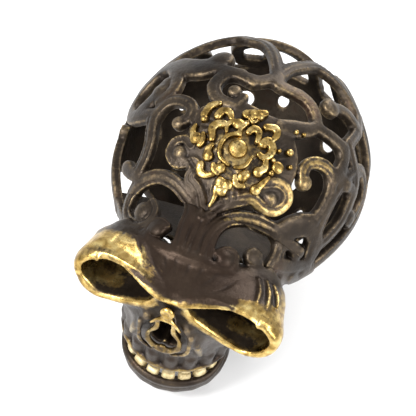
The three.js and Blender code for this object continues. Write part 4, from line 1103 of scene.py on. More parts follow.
# %% Teeth's arc
JAW_MIDDLE = FACE_REACH - 16.5
JAW_RADIUS = 15.0
GUM_LEVEL = 17.4
TEETH_IN_ROW = 8
TOOTH_WIDTH = 4.1
TOOTH_DEPTH = 2.8
TOOTH_GAP = 0.7
TOOTH_TURN = (TOOTH_WIDTH + TOOTH_GAP) / (JAW_RADIUS - TOOTH_DEPTH / 2)


def jaw_point(turn, radius, level):
    return (math.sin(turn) * radius, -JAW_MIDDLE - math.cos(turn) * radius, level)


def up_the_jaw(turn, marks):
    """A path up the jaw from marks, each a share of the turn, a radius and a level."""
    return [jaw_point(turn * turn_share, radius, level) for turn_share, radius, level in marks]


print("one tooth every", round(math.degrees(TOOTH_TURN), 1), "degrees")

# %% Furrows and roots
FURROW = [(1, 15.6, 19.3), (1, 15.8, 23.0), (0.8, 16.6, 28.5)]
FURROW_RADII = [0.6, 1.15, 0.5]
ROOT = [(1, 14.6, 18.2), (1, 14.9, 22.5)]
ROOT_RADII = [1.5, 1.1]
LIP_RADIUS = 15.6
LIP_HALF_TURN = 1.25
LIP_RADII = [0.7, 0.8, 0.7]
for place in range(1, TEETH_IN_ROW):
    turn_here = (place - TEETH_IN_ROW / 2) * TOOTH_TURN
    roll(face, up_the_jaw(turn_here, FURROW), FURROW_RADII, blend=0.6, hollow=True)
for place in range(TEETH_IN_ROW):
    turn_here = (place + 0.5 - TEETH_IN_ROW / 2) * TOOTH_TURN
    roll(face, up_the_jaw(turn_here, ROOT), ROOT_RADII, blend=1.4)
lip = [jaw_point(t, LIP_RADIUS, GUM_LEVEL + 0.9) for t in np.linspace(-LIP_HALF_TURN, LIP_HALF_TURN, 15)]
roll(face, lip, LIP_RADII, blend=0.7)
print(TEETH_IN_ROW - 1, "furrows between", TEETH_IN_ROW, "roots")

# %% [markdown]
# The cheek is a hollow pressed with a thumb. Beside the nose two rolls of wax run down the muzzle, with a few
# folds outside them. Behind the teeth the gum is closed by two rolls, so no light falls through the mouth.

# %% Cheeks, muzzle and gum
CHEEK = (15.5, -50.5, 31.5)
CHEEK_SIZES = (4.5, 3.5, 5.5)
MUZZLE_ROLLS = [([(5.0, -53.6, 40.5), (7.4, -53.0, 35.0), (9.0, -51.2, 28.0)], [0.7, 0.9, 0.5], 2.6),
                ([(6.4, -54.4, 38.5), (5.6, -54.6, 31.5), (2.5, -54.4, 28.6)], [0.5, 0.6, 0.5], 0.9)]
FOLDS = 3
FIRST_FOLD = 10.5
FOLD_STEP = 2.2
FOLD_RADII = [0.3, 0.55, 0.3]
GUM_ROLLS = [(10.4, 16.8, 1.3), (11.4, 19.2, 1.8)]
GUM_HALF_TURN = 1.3
for side in (-1, 1):
    ball(face, on_side(side, [CHEEK])[0], CHEEK_SIZES, blend=2.5, hollow=True)
    for path, radii, blend in MUZZLE_ROLLS:
        roll(face, on_side(side, path), radii, blend=blend)
    for fold in range(FOLDS):
        across = side * (FIRST_FOLD + FOLD_STEP * fold)
        path = [(across, -53.2 + fold, 33.0), (across * 0.97, -52.2 + fold, 27.5),
                (across * 0.9, -51.0 + fold * 1.6, 22.5)]
        roll(face, path, FOLD_RADII, blend=0.8, hollow=True)
for radius, level, thickness in GUM_ROLLS:
    arc = [jaw_point(t, radius, level) for t in np.linspace(-GUM_HALF_TURN, GUM_HALF_TURN, 15)]
    roll(face, arc, [thickness, thickness], blend=1.6)
print(2 * FOLDS, "folds of the muzzle and the gum behind the teeth")

# %% [markdown]
# The brow is drawn tight towards the fork. Long shallow grooves show it, and a few folds gather at each
# temple. Both follow the top of the face, so their height is read from it.

# %% Grooves of the brow
BROW_GROOVES = [[(-9.5, -44), (-6.5, -47), (-3.5, -49.5), (-1.5, -51.5)],
                [(-5.5, -42), (-4.5, -45.5), (-3, -48.5)], [(-2.5, -41.5), (-2.2, -45), (-1.4, -49)],
                [(1.0, -41.5), (0.8, -46), (0.3, -50)], [(4.5, -41.5), (3.6, -45.5), (2.2, -49)],
                [(8, -42.5), (6.5, -46), (4, -49.5)], [(12, -43), (10.5, -46), (8.5, -48.5)],
                [(-14, -41.5), (-11.5, -45), (-9.5, -47.5)]]
TEMPLE_FOLDS = [[(16.5, -39.5), (18.0, -43.5), (18.5, -47.5)], [(18.5, -39), (20.2, -43), (21, -47)],
                [(20.3, -39), (22.2, -42.5), (23.2, -46)]]
BROW_GROOVE_RADII = [0.25, 0.6, 0.25]
GROOVE_STANDS = 0.25


def on_brow(x, y):
    """The top of the face at a place seen from above."""
    return face_near(0, 1, (x, y), reach=1.5, margin=0.3)[:, 2].max()


left_grooves = [[(-x, y) for x, y in fold] for fold in TEMPLE_FOLDS[:2]]
for groove in BROW_GROOVES + left_grooves:
    path = [(x, y, on_brow(x, y) + GROOVE_STANDS) for x, y in groove]
    roll(face, path, BROW_GROOVE_RADII, blend=0.5, hollow=True)
for fold in TEMPLE_FOLDS:
    roll(face, [(x, y, on_brow(x, y)) for x, y in fold], FOLD_RADII, blend=0.7)
print(len(BROW_GROOVES + left_grooves), "grooves and", len(TEMPLE_FOLDS), "folds")

# %% [markdown]
# The muzzle of the real skull is a little narrower than a full arc and leans to the skull's left, and its
# left wing stands a little further back. Crooked forms are hard to keep together while modelling, so the
# whole mouth, from cheeks to chin, is bent as one afterwards, and jaw, teeth and gums still meet.

# %% Bend of the mouth and the left wing
BEND_LEVELS = [0, 4, 10, 13.4, 17.4, 24, 33]
BEND_SCALE_SHARES = [0.78, 0.85, 0.93, 0.9, 0.87, 0.93, 1]
BEND_SLIDES = [-1, -1, -1, -1, -1, -0.7, 0]
BEND_BACK = -23.0
BEND_FULL = -31.0
WING_START = 4.0
WING_FULL = 22.0
WING_LEVEL = 33
WING_FRONT = -36
WING_FADE = 8
WING_BACK = 2.2
WING_IN = 1.0
WING_UP = 0.8


def eased(share):
    """Makes an even ramp from 0 to 1 start and end softly."""
    return share**2 * (3 - 2 * share)


def swing_wing(places):
    side = np.clip((-places[:, 0] - WING_START) / (WING_FULL - WING_START), 0, 1)
    level = np.clip((places[:, 2] - WING_LEVEL) / WING_FADE, 0, 1)
    forward = np.clip((WING_FRONT - places[:, 1]) / WING_FADE, 0, 1)
    share = eased(side) * level * eased(forward)
    return places + share[:, None] * [WING_IN, WING_BACK, WING_UP]


def settle(places):
    level = places[:, 2]
    share = eased(np.clip((BEND_BACK - places[:, 1]) / (BEND_BACK - BEND_FULL), 0, 1))
    scale = 1 + (np.interp(level, BEND_LEVELS, BEND_SCALE_SHARES) - 1) * share
    bent = places.copy()
    bent[:, 0] = places[:, 0] * scale + np.interp(level, BEND_LEVELS, BEND_SLIDES) * share
    bent[:, 1] = -JAW_MIDDLE + (places[:, 1] + JAW_MIDDLE) * scale
    return swing_wing(bent)


print("gum front moves from", FACE_REACH, "to", settle(np.array([[0, -FACE_REACH, GUM_LEVEL]])).round(1))

# %% [markdown]
# Cranium and face are one casting, so no seam may show. The face takes in a strip of the cranium, melts into
# it with a soft fillet, and sinks under the cranium's own skin behind the seam. The roofs of the two sockets
# run on as one shelf inside the brow, which is what shows through the holes over the brow.

# %% Melt the face into the cranium
STRIP = 3.5
SINK = 0.3
MELT = 1.8
ROOF_TOP = 48.5
ROOF_FRONT = -43.0
ROOF_BACK = -18.5
ROOF_SLOPE = 0.4
ROOF_SAG = 5.0
ROOF_WALL = 1.5
ROOF_BLEND = 1.0


def quads_of(piece):
    index = np.empty(len(piece.data.loops), dtype=np.int32)
    piece.data.loops.foreach_get("vertex_index", index)
    return index.reshape(-1, 4)


cranium_distance = distances_to(cranium_places, quads_of(cranium), face, reach=6)
x, y, z = places_of(face)
behind = (y - SEAM_TOP[1]) * SEAM_DIRECTION[1] + (z - SEAM_TOP[2]) * SEAM_DIRECTION[2]
joined = smooth_min(face["field"], cranium_distance, MELT)
joined = joined + SINK * np.clip(behind / STRIP, 0, 1) ** 2
face["field"] = np.maximum(joined, behind - STRIP).astype(np.float32)
roof_level = ROOF_TOP - ROOF_SLOPE * (y - ROOF_FRONT) - ROOF_SAG * (x / HALF_WIDTH) ** 2
dome_share = np.sqrt((x / HALF_WIDTH) ** 2 + (y / HALF_LENGTH) ** 2 + ((z - DOME_LEVEL) / DOME_RISE) ** 2)
roof_reach = np.maximum(np.maximum(ROOF_FRONT - y, y - ROOF_BACK), (dome_share - 1) * HALF_WIDTH)
roof = smooth_max(np.abs(z - roof_level) - ROOF_WALL / 2, roof_reach, ROOF_WALL / 2)
face["field"] = smooth_min(face["field"], roof, ROOF_BLEND).astype(np.float32)
for name, hollow in pockets.items():
    face["field"] = np.maximum(face["field"], -hollow)
face_mask = modelled("cast_face", face, settle)

# %% [markdown]
# ## Nose rim
# A wavy roll of brass frames the nose, pinched into lobes, with a small ring at its top. It was rolled
# between the fingers, so its thickness changes along its length.

# %% Nose rim
RIM_VOXEL = 0.2
NOSE_RIM_RADII = [0.6, 0.45, 0.7, 0.42, 0.75, 0.5, 0.62, 0.5, 0.75, 0.42, 0.7, 0.45]
NOSE_RIM_FRONT = -54.7
NOSE_RIM_OUT = 0.35
RING_RADIUS = 1.15
RING_LEVEL = 45.6
LOWER_LIP = [(-4.0, 0.2, 33.4), (-2.2, 0, 31.2), (0, -0.2, 30.7), (2.2, 0, 31.2), (4.0, 0.2, 33.4)]
LOWER_LIP_RADII = [0.5, 0.75, 0.85, 0.75, 0.5]
BRIDGE = [(-3.6, 0, 40.2), (-1.6, -0.3, 43.0), (1.6, -0.3, 43.0), (3.6, 0, 40.2)]
BRIDGE_RADII = [0.35, 0.5, 0.35]


def at_nose(marks):
    """A path at the front of the nose from marks, each a place across, a step back and a level."""
    return [(x, NOSE_RIM_FRONT + step_back, z) for x, step_back, z in marks]


nose = wax_block((-7.5, -58.5, 28.5), (7.5, -51.5, 49.5), RIM_VOXEL)
outline = face_outline(NOSE_SHARES)
outline = outline + outward_of(outline) * NOSE_RIM_OUT
path = np.array(at_nose([(x, 0, z) for x, z in outline]))
roll(nose, np.vstack([path, path[:1]]), NOSE_RIM_RADII + NOSE_RIM_RADII[:1], blend=0.3, count=60)
ring = [(math.cos(t) * RING_RADIUS, -0.1, RING_LEVEL + math.sin(t) * RING_RADIUS)
        for t in np.linspace(0, 2 * math.pi, 13)]
roll(nose, at_nose(ring), [0.6, 0.5], blend=0.4, count=30)
ball(nose, at_nose([(0, 0.3, 45.3)])[0], (1.7, 0.7, 2.0), blend=0.5)
roll(nose, at_nose(LOWER_LIP), LOWER_LIP_RADII, blend=0.6, count=30)
roll(nose, at_nose(BRIDGE), BRIDGE_RADII, blend=0.4, count=24)
nose_rim = modelled("cast_nose_rim", nose, settle)

# %% [markdown]
# ## Lower jaw
# The jaw is a thick dark horseshoe that narrows towards the table. The carver rounded its rim, and left low
# swellings under the roots of the teeth.

# %% Lower jaw
JAW_VOXEL = 0.3
JAW_HALF_TURN = 1.9
JAW_WALL = 4.4
JAW_HEIGHT = 10.0
JAW_RAMUS_RISE = 6.0
RAMUS_START_SHARE = 0.77
JAW_LEVEL_SHARES = [0, 0.3, 0.7, 1]
JAW_SECTION_SHARES = [0.67, 0.84, 0.98, 0.98]
JAW_ROUNDING = 1.8
SWELLING = 0.08
SWELLING_LEVEL = 6.5
SWELLING_SPREAD = 2.2
JAW_RIM_RADIUS = 14.0
JAW_RIM_HALF_TURN = 1.75
JAW_RIM_LEVELS = [15.0, 13.0, 11.6] + [10.8] * 9 + [11.6, 13.0, 15.0]
JAW_RIM_RADII = [0.8, 1.0, 1.05, 1.0, 0.8]
jaw = wax_block((-18, -56, -1.5), (18, -26, 18.5), JAW_VOXEL)
x, y, z = places_of(jaw)
radius = np.hypot(x, y + JAW_MIDDLE)
turn_at = np.arctan2(x, -(y + JAW_MIDDLE))
share = np.abs(turn_at) / JAW_HALF_TURN
top = JAW_HEIGHT + JAW_RAMUS_RISE * np.clip((share - RAMUS_START_SHARE) / (1 - RAMUS_START_SHARE), 0, 1)
outer_edge = JAW_RADIUS * np.interp(z / JAW_HEIGHT, JAW_LEVEL_SHARES, JAW_SECTION_SHARES)
swellings = SWELLING * np.cos(2 * math.pi * turn_at / TOOTH_TURN)
swellings = swellings * np.exp(-(((z - SWELLING_LEVEL) / SWELLING_SPREAD) ** 2))
wall = smooth_max(radius - outer_edge - swellings, outer_edge - JAW_WALL - radius, JAW_ROUNDING)
ends = (np.abs(turn_at) - JAW_HALF_TURN) * JAW_RADIUS
bar = smooth_max(wall, smooth_max(z - top, -z, 0.5), JAW_ROUNDING)
jaw["field"] = smooth_max(bar, ends, 1.5).astype(np.float32)
jaw_rim_turns = np.linspace(-JAW_RIM_HALF_TURN, JAW_RIM_HALF_TURN, len(JAW_RIM_LEVELS))
jaw_rim = [jaw_point(t, JAW_RIM_RADIUS, level) for t, level in zip(jaw_rim_turns, JAW_RIM_LEVELS)]
roll(jaw, jaw_rim, JAW_RIM_RADII, blend=1.0)
lower_jaw = modelled("cast_lower_jaw", jaw, settle)

# %% [markdown]
# ## Teeth
# Each tooth is a small square pillow, rubbed down to bright metal and pale with a painted reflection of the
# white sheet. No two are alike: a carver cuts them one by one, so each gets its own width, lean and height
# from short lists.

# %% Teeth
BITE_LEVEL = 13.4
UPPER_BITE_GAP = 0.15
LOWER_BITE_GAP = 0.2
TOOTH_SINK = 0.2
TOOTH_VOXEL = 0.16
TOOTH_BLOCK = 4.2
TOOTH_REACH = JAW_RADIUS - 2.6
TOOTH_POWER = 3.2
TOOTH_TAPER_SHARE = 0.12
UPPER_WIDTH_SHARES = [0.7, 0.8, 0.74, 0.82, 0.76, 0.8, 0.72, 0.7]
LOWER_WIDTH_SHARES = [0.8, 0.86, 0.9, 0.84, 0.88, 0.85, 0.9, 0.78]
UPPER_LEANS = [0.05, -0.06, 0.08, -0.03, 0.05, -0.08, 0.04, 0.09]
UPPER_DROPS = [0.2, 0.0, -0.25, 0.1, -0.1, 0.2, -0.15, 0.25]


def tooth(name, turn_here, low, high, width_share, lean):
    middle = np.array(jaw_point(turn_here, TOOTH_REACH, (low + high) / 2))
    side = np.array([math.cos(turn_here), math.sin(turn_here), 0])
    out = np.array([math.sin(turn_here), -math.cos(turn_here), 0])
    block = wax_block(middle - TOOTH_BLOCK, middle + TOOTH_BLOCK, TOOTH_VOXEL)
    x, y, z = places_of(block)
    along = (x - middle[0]) * side[0] + (y - middle[1]) * side[1]
    across = (x - middle[0]) * out[0] + (y - middle[1]) * out[1]
    height = (z - middle[2]) / (high - low) * 2
    along = along - lean * height * 2
    narrow = TOOTH_WIDTH * width_share / 2 * (1 - TOOTH_TAPER_SHARE * height**2)
    form = (np.abs(along / narrow) ** TOOTH_POWER + np.abs(across / (TOOTH_DEPTH / 2)) ** TOOTH_POWER
            + np.abs(height) ** (2 * TOOTH_POWER))
    block["field"] = ((form ** (1 / TOOTH_POWER) - 1) * TOOTH_DEPTH / 2).astype(np.float32)
    return modelled("cast_" + name, block, settle), name


teeth = []
for place in range(TEETH_IN_ROW):
    turn_here = (place - (TEETH_IN_ROW - 1) / 2) * TOOTH_TURN
    low = BITE_LEVEL + UPPER_BITE_GAP + UPPER_DROPS[place] / 2
    teeth.append(tooth(f"upper_tooth_{place + 1}", turn_here, low, GUM_LEVEL + TOOTH_SINK,
                       UPPER_WIDTH_SHARES[place], UPPER_LEANS[place]))
    teeth.append(tooth(f"lower_tooth_{place + 1}", turn_here, JAW_HEIGHT - TOOTH_SINK,
                       BITE_LEVEL - LOWER_BITE_GAP, LOWER_WIDTH_SHARES[place], 0.0))
print(len(teeth), "teeth")

# %% [markdown]
# ## Foot ring
# The skull stands on a plain hem round the neck, where the wax was trimmed level. It is an oval pipe, a touch
# wider at the table, with its edges rounded.

# %% Foot ring
RING_VOXEL = 0.3
RING_HEIGHT = 3.4
RING_BORE_SHARE = 0.78
RING_FLARE_SHARE = 0.04
ring_block = wax_block((-14, -15.5, -1), (14, 15.5, 5), RING_VOXEL)
x, y, z = places_of(ring_block)
spread = np.sqrt((x / FOOT_HALF_WIDTH) ** 2 + (y / FOOT_HALF_LENGTH) ** 2)
flare = 1 + RING_FLARE_SHARE - RING_FLARE_SHARE * np.clip(z / RING_HEIGHT, 0, 1)
wall = smooth_max((spread - flare) * FOOT_HALF_WIDTH, (RING_BORE_SHARE - spread) * FOOT_HALF_WIDTH, 0.8)
ring_block["field"] = smooth_max(wall, smooth_max(z - RING_HEIGHT, -z, 0.3), 0.9).astype(np.float32)
foot_ring = modelled("cast_foot_ring", ring_block)

# %% [markdown]
# ## The rosette
# Beads, commas and curls of wax were pressed on the plate over the brow, one by one, and later filed and
# polished. Each is carved on its own small sheet, with finer cells than the shell has.

# %% Beads and curls of the rosette
ROSETTE_MARKS = {
    "boss": {"beads": [((0.035, -0.31), 2.15)],
             "curls": [([(0.01, -0.247), (-0.035, -0.275), (-0.05, -0.325), (-0.03, -0.372),
                         (0.02, -0.392)], 0.75),
                       ([(0.055, -0.392), (0.098, -0.37), (0.114, -0.32)], 0.7),
                       ([(0.02, -0.25), (0.012, -0.225), (0.03, -0.2)], 0.7)]},
    "top_bead": {"beads": [((-0.005, -0.205), 1.4), ((0.03, -0.188), 0.7)],
                 "curls": [([(-0.03, -0.2), (-0.055, -0.225), (-0.045, -0.255)], 0.8)]},
    "right_bead": {"beads": [((0.248, -0.314), 1.45), ((0.273, -0.226), 0.95), ((0.223, -0.244), 0.6),
                             ((0.305, -0.284), 0.65)],
                   "curls": []},
    "lower_right_bead": {"beads": [((0.191, -0.447), 1.25)],
                         "curls": [([(0.191, -0.447), (0.21, -0.41), (0.226, -0.375)], 1.0)]},
    "low_bead": {"beads": [((0.106, -0.418), 1.2), ((0.118, -0.402), 1.05)],
                 "curls": [([(0.07, -0.43), (0.09, -0.46), (0.13, -0.455)], 0.9)]},
    "lower_left_bead": {"beads": [((-0.009, -0.414), 1.2)],
                        "curls": [([(-0.05, -0.41), (-0.04, -0.435), (-0.015, -0.445)], 0.8)]},
    "heart_leaf": {"beads": [((0.012, -0.472), 1.2), ((0.052, -0.474), 1.2), ((0.032, -0.51), 1.3)],
                   "curls": [([(0.0, -0.5), (0.01, -0.55), (0.0, -0.59)], 0.7)]},
    "left_bead": {"beads": [((-0.178, -0.316), 1.45)],
                  "curls": [([(-0.178, -0.32), (-0.205, -0.29), (-0.2, -0.26)], 0.9)]},
    "upper_left_bead": {"beads": [((-0.18, -0.2), 0.95), ((-0.172, -0.222), 0.85)],
                        "curls": [([(-0.18, -0.2), (-0.165, -0.155), (-0.128, -0.135)], 1.1)]},
    "comma_bead": {"beads": [((0.169, -0.371), 1.25), ((0.23, -0.35), 0.75), ((0.215, -0.295), 0.6)],
                   "curls": [([(0.169, -0.371), (0.19, -0.345), (0.178, -0.31)], 1.1)]},
    "left_petal": {"beads": [],
                   "curls": [([(-0.15, -0.345), (-0.14, -0.32), (-0.15, -0.29)], 0.9),
                             ([(-0.068, -0.225), (-0.105, -0.235), (-0.117, -0.26), (-0.105, -0.285),
                               (-0.1, -0.305)], 1.25)]},
    "top_petal": {"beads": [],
                  "curls": [([(0.055, -0.225), (0.072, -0.2), (0.098, -0.208), (0.108, -0.25)], 1.1)]},
    "upper_right_curl": {"beads": [((0.262, -0.125), 0.65), ((0.3, -0.115), 0.6)],
                         "curls": [([(0.121, -0.172), (0.165, -0.16), (0.182, -0.185), (0.171, -0.216)],
                                    1.15)]},
    "right_petal": {"beads": [((0.142, -0.252), 0.85)],
                    "curls": [([(0.135, -0.25), (0.153, -0.224), (0.187, -0.247), (0.19, -0.275),
                                (0.165, -0.305), (0.14, -0.3)], 1.2)]},
    "lower_left_curl": {"beads": [((-0.112, -0.43), 0.8)],
                        "curls": [([(-0.112, -0.425), (-0.105, -0.455), (-0.078, -0.466), (-0.037, -0.452)],
                                   1.15)]},
    "left_comma": {"beads": [((-0.091, -0.38), 1.25)],
                   "curls": [([(-0.091, -0.38), (-0.1, -0.35), (-0.088, -0.33)], 1.0)]},
    "upper_left_curl": {"beads": [((-0.108, -0.19), 0.75)],
                        "curls": [([(-0.114, -0.196), (-0.1, -0.168), (-0.068, -0.165), (-0.046, -0.19)],
                                   1.2)]},
    "crown_patch": {"beads": [((0.045, -0.148), 0.9), ((0.075, -0.138), 0.9)],
                    "curls": [([(0.012, -0.15), (0.05, -0.135), (0.09, -0.115)], 1.5),
                              ([(0.03, -0.165), (0.055, -0.178), (0.07, -0.165)], 0.6)]},
}
print(len(ROSETTE_MARKS), "pieces of the rosette")

# %% Carve the rosette
FINE_CELL = 0.0042
FINE_LAYER = 0.14
SHEET_MARGIN = 0.075
RELIEF_BOTTOM = 0.55
RELIEF_LOW = 0.0
RELIEF_HIGH = 3.0
CURL_LIFT = 1.45
CURL_CROWN = 0.6
CURL_WIDTH_SHARES = [1.25, 1.4, 1.0]
BEAD_SIZE_SHARE = 1.08
BEAD_LIFT = 1.3
BEAD_CROWN = 0.9


def rosette_piece(name, beads, curls):
    spots = [spot for spot, _ in beads] + [spot for path, _ in curls for spot in path]
    low = np.min(spots, axis=0) - SHEET_MARGIN
    high = np.max(spots, axis=0) + SHEET_MARGIN
    sheet = wax_sheet(low, high, FINE_CELL)
    sheet["bottom"] = np.full(sheet["outside"].shape, RELIEF_BOTTOM)
    for path, width in curls:
        band(sheet, path, np.array(CURL_WIDTH_SHARES) * width, lift=CURL_LIFT, crown=CURL_CROWN)
    for spot, radius in beads:
        eye_mark(sheet, spot, radius * BEAD_SIZE_SHARE, lift=BEAD_LIFT, crown=BEAD_CROWN)
    piece, _ = carved("cast_rosette_" + name, sheet, RELIEF_LOW, RELIEF_HIGH, FINE_LAYER)
    return piece, "rosette_" + name


rosette = [rosette_piece(name, **marks) for name, marks in ROSETTE_MARKS.items()]
print("rosette carved")

# %% [markdown]
# ## Wear, painted light and painted shade
# Hands and cloths rub a casting where it stands proud, and dirt stays where it is low, where the finish also
# paints shade. Each vertex keeps four values for the finish: how proud it is, how low it is, how much the
# polisher worked there together with light painted inside the sockets, and how much soot of the patina bath
# is left. A painted picture could hold them too, but needs each skin laid out flat.

# %% Proud, low, polished and sooty
PROUD_PASSES = 9
PROUD_SHARE = 0.6
PROUD_DEPTH = 0.22


def places_in_mm(piece):
    flat = np.empty(len(piece.data.vertices) * 3, dtype=np.float32)
    piece.data.vertices.foreach_get("co", flat)
    return (flat.reshape(-1, 3).astype(float) - MIDDLE) / MM


def normals_of(piece):
    flat = np.empty(len(piece.data.vertices) * 3, dtype=np.float32)
    piece.data.vertex_normals.foreach_get("vector", flat)
    return flat.reshape(-1, 3)


def keep_value(piece, name, values):
    layer = piece.data.attributes.new(name, "FLOAT", "POINT")
    layer.data.foreach_set("value", np.clip(values, 0, 1).astype(np.float32))


def wear(piece, polish_and_painted_light=0.0, soot=0.0):
    places = places_in_mm(piece)
    smoothed = relax(places, quads_of(piece), PROUD_PASSES, PROUD_SHARE)
    rise = ((places - smoothed) * normals_of(piece)).sum(axis=1) / PROUD_DEPTH
    keep_value(piece, "proud", rise)
    keep_value(piece, "low", -rise)
    keep_value(piece, "polish_and_painted_light", np.zeros(len(places)) + polish_and_painted_light)
    keep_value(piece, "soot", np.zeros(len(places)) + soot)


def spot_share(places, centre, radius):
    """1 at a spot and 0 from its radius on."""
    return eased(np.clip(1 - np.linalg.norm(places - centre, axis=1) / radius, 0, 1))


def path_share(places, path, radius):
    """1 along a path and 0 from its radius on."""
    away = np.full(len(places), np.inf)
    for spot in smooth_path(path, 40):
        away = np.minimum(away, np.linalg.norm(places - spot, axis=1))
    return eased(np.clip(1 - away / radius, 0, 1))


print("wear is measured against", PROUD_PASSES, "passes of smoothing")

# %% [markdown]
# The polisher worked on what a hand meets first: the rims of the sockets, the wings, the roots of the teeth
# and the edge of the brow. Deeper in the sockets the same values are partly polish and partly painted light
# and reflection on walls that lie in shade. Each row is how strong, how wide in millimetres, and where. The
# brow's fork and the mouth kept most of the soot.

# %% Worn places of the face, with painted light in the sockets
# The first three of these rows are partly polish and partly painted light on the inner walls of each socket;
# the last is wear beside the nose.
SOCKET_RUBS_AND_PAINTED_LIGHT = [(0.8, 4.5, [(22.5, -50, 42.5), (19.5, -47.5, 40.5), (15.0, -47.5, 40.8)]),
             (1.0, 9.0, [(22.5, -47.5, 45.5), (20.5, -42, 43.5)]),
             (0.8, 8.0, [(17, -44, 43), (12, -40, 44)]),
             (0.6, 2.6, [(3.2, -53.5, 46.0), (6.0, -54, 43.0)])]
MUZZLE_RUB = [(7.5, -54, 36), (9.5, -52, 30), (10.5, -50, 24)]
GUM_RUB = [jaw_point(turn_here, LIP_RADIUS, GUM_LEVEL + 1.2) for turn_here in (-1.0, 0.0, 1.0)]
ROOT_RUB = [(1, 16.4, 19.5), (0.9, 17, 26.5)]
rubs_and_painted_light = [(1.15, 6.5, [(-12.5, -47, 51.0), (-18, -44.5, 50.5), (-23.5, -45, 47.5)]),
        (0.55, 5.5, [(-12.5, -47, 51), (-7, -49, 50.5)]),
        (0.8, 4.8, [(17, -50, 50.5), (22, -49.5, 48.5), (25, -50, 45)]),
        (0.75, 1.7, BROW_EDGE), (0.5, 3.0, GUM_RUB),
        (0.28, 4.0, on_side(-1, MUZZLE_RUB)), (0.22, 4.0, MUZZLE_RUB)]
for side, shares in ((1, SOCKET_SHARES), (-1, mirrored(SOCKET_SHARES))):
    rim_path = [(x, on_face(x, z), z) for x, z in face_outline(shares)]
    rubs_and_painted_light += [(0.72, 3.0, rim_path[7:] + rim_path[:1]), (1.05, 7.5, rim_path[4:8])]
    rubs_and_painted_light += [(most, reach, on_side(side, path)) for most, reach, path in SOCKET_RUBS_AND_PAINTED_LIGHT]
for place in range(TEETH_IN_ROW):
    turn_here = (place + 0.5 - TEETH_IN_ROW / 2) * TOOTH_TURN
    rubs_and_painted_light.append((0.36, 2.0, up_the_jaw(turn_here, ROOT_RUB)))
face_at = places_in_mm(face_mask)
face_polish_and_painted_light = np.max([most * path_share(face_at, path, reach) for most, reach, path in rubs_and_painted_light], axis=0)
print(len(rubs_and_painted_light), "rubbed places of the face")

# %% Soot of the face
BROW_SOOT = 1.6
BROW_SOOT_REACH = 12.5
BROW_SOOT_PATH = [(-8, -44, 51), (2, -48, 52), (12, -45, 51)]
BROW_SOOT_LEVEL = 43
BROW_SOOT_FADE = 5
MOUTH_SOOT = 0.7
MOUTH_SOOT_LEVEL = 38
MOUTH_SOOT_FADE = 8
brow_soot = path_share(face_at, BROW_SOOT_PATH, BROW_SOOT_REACH)
brow_soot = brow_soot * np.clip((face_at[:, 2] - BROW_SOOT_LEVEL) / BROW_SOOT_FADE, 0, 1)
mouth_soot = MOUTH_SOOT * np.clip((MOUTH_SOOT_LEVEL - face_at[:, 2]) / MOUTH_SOOT_FADE, 0, 1)
wear(face_mask, face_polish_and_painted_light, np.maximum(np.minimum(BROW_SOOT * brow_soot, 1), mouth_soot))
print("soot share of the face", round(float(brow_soot.mean()), 3))

# %% Wear of the cranium
RUBBED_CURLS = [(0.58, 3.2, [(0.2, -0.49), (0.27, -0.505), (0.33, -0.495), (0.365, -0.46), (0.375, -0.415),
                             (0.345, -0.378), (0.28, -0.373)]),
                (0.6, 3.0, [(0.42, -0.305), (0.39, -0.26), (0.39, -0.22), (0.43, -0.18), (0.51, -0.16)]),
                (0.4, 3.0, [(-0.25, -0.445), (-0.305, -0.4), (-0.295, -0.345), (-0.24, -0.325)]),
                (0.35, 3.0, [(0.12, -0.632), (0.175, -0.6), (0.25, -0.58), (0.325, -0.575)])]
CROWN_RUBS = [(0.4, 19.0), (0.12, 12.0)]
FORK_SPOT_SHARE = (0.0, -0.82)
FORK_SOOT = 1.5
FORK_SOOT_REACH = 17.0
cranium_at = places_in_mm(cranium)
rosette_at = dome_spot(ROSETTE_MIDDLE_SHARE)
crown_polish = sum(most * spot_share(cranium_at, rosette_at, reach) for most, reach in CROWN_RUBS)
for most, reach, path_shares in RUBBED_CURLS:
    curl = [dome_spot(spot) for spot in path_shares]
    crown_polish = np.maximum(crown_polish, most * path_share(cranium_at, curl, reach))
fork_soot = spot_share(cranium_at, dome_spot(FORK_SPOT_SHARE), FORK_SOOT_REACH)
wear(cranium, crown_polish, np.minimum(FORK_SOOT * fork_soot, 1))
print("mean polish of the cranium", round(float(crown_polish.mean()), 3))

# %% Wear of the small pieces
STAINED_TEETH = {"upper_tooth_4": 0.85, "upper_tooth_5": 0.35, "upper_tooth_2": 0.2}
NOSE_POLISH = 0.42
NOSE_TOP_POLISH = 0.45
NOSE_TOP_LEVEL = 38
NOSE_TOP_FADE = 7
nose_top = np.clip((places_in_mm(nose_rim)[:, 2] - NOSE_TOP_LEVEL) / NOSE_TOP_FADE, 0, 1)
wear(nose_rim, NOSE_POLISH + NOSE_TOP_POLISH * nose_top, soot=0.3)
wear(lower_jaw, polish_and_painted_light=0.12, soot=0.3)
wear(foot_ring, polish_and_painted_light=0.1)
for piece, _ in rosette:
    wear(piece, polish_and_painted_light=1.0)
for piece, name in teeth:
    wear(piece, polish_and_painted_light=1.0, soot=STAINED_TEETH.get(name, 0.0))
print("wear kept on", 5 + len(rosette) + len(teeth), "pieces")

# %% [markdown]
# ## Finishes
# All of the skull is one brass, so the finishes differ in what was done to it, and the teeth's also in a
# painted reflection. Each is built from the same few nodes: noise in real millimetres for the casting's
# grain, and the kept values for wear, painted light and painted shade.

# %% Colours and nodes


def colour(code):
    """A hex colour as the eye sees it, turned into the linear values that Blender mixes."""
    channels = [int(code[k:k + 2], 16) / 255 for k in (1, 3, 5)]
    return [c / 12.92 if c <= 0.04045 else ((c + 0.055) / 1.055) ** 2.4 for c in channels] + [1.0]


def new_material(name):
    material = bpy.data.materials.new(name)
    material.use_nodes = True
    material.node_tree.nodes.clear()
    return material


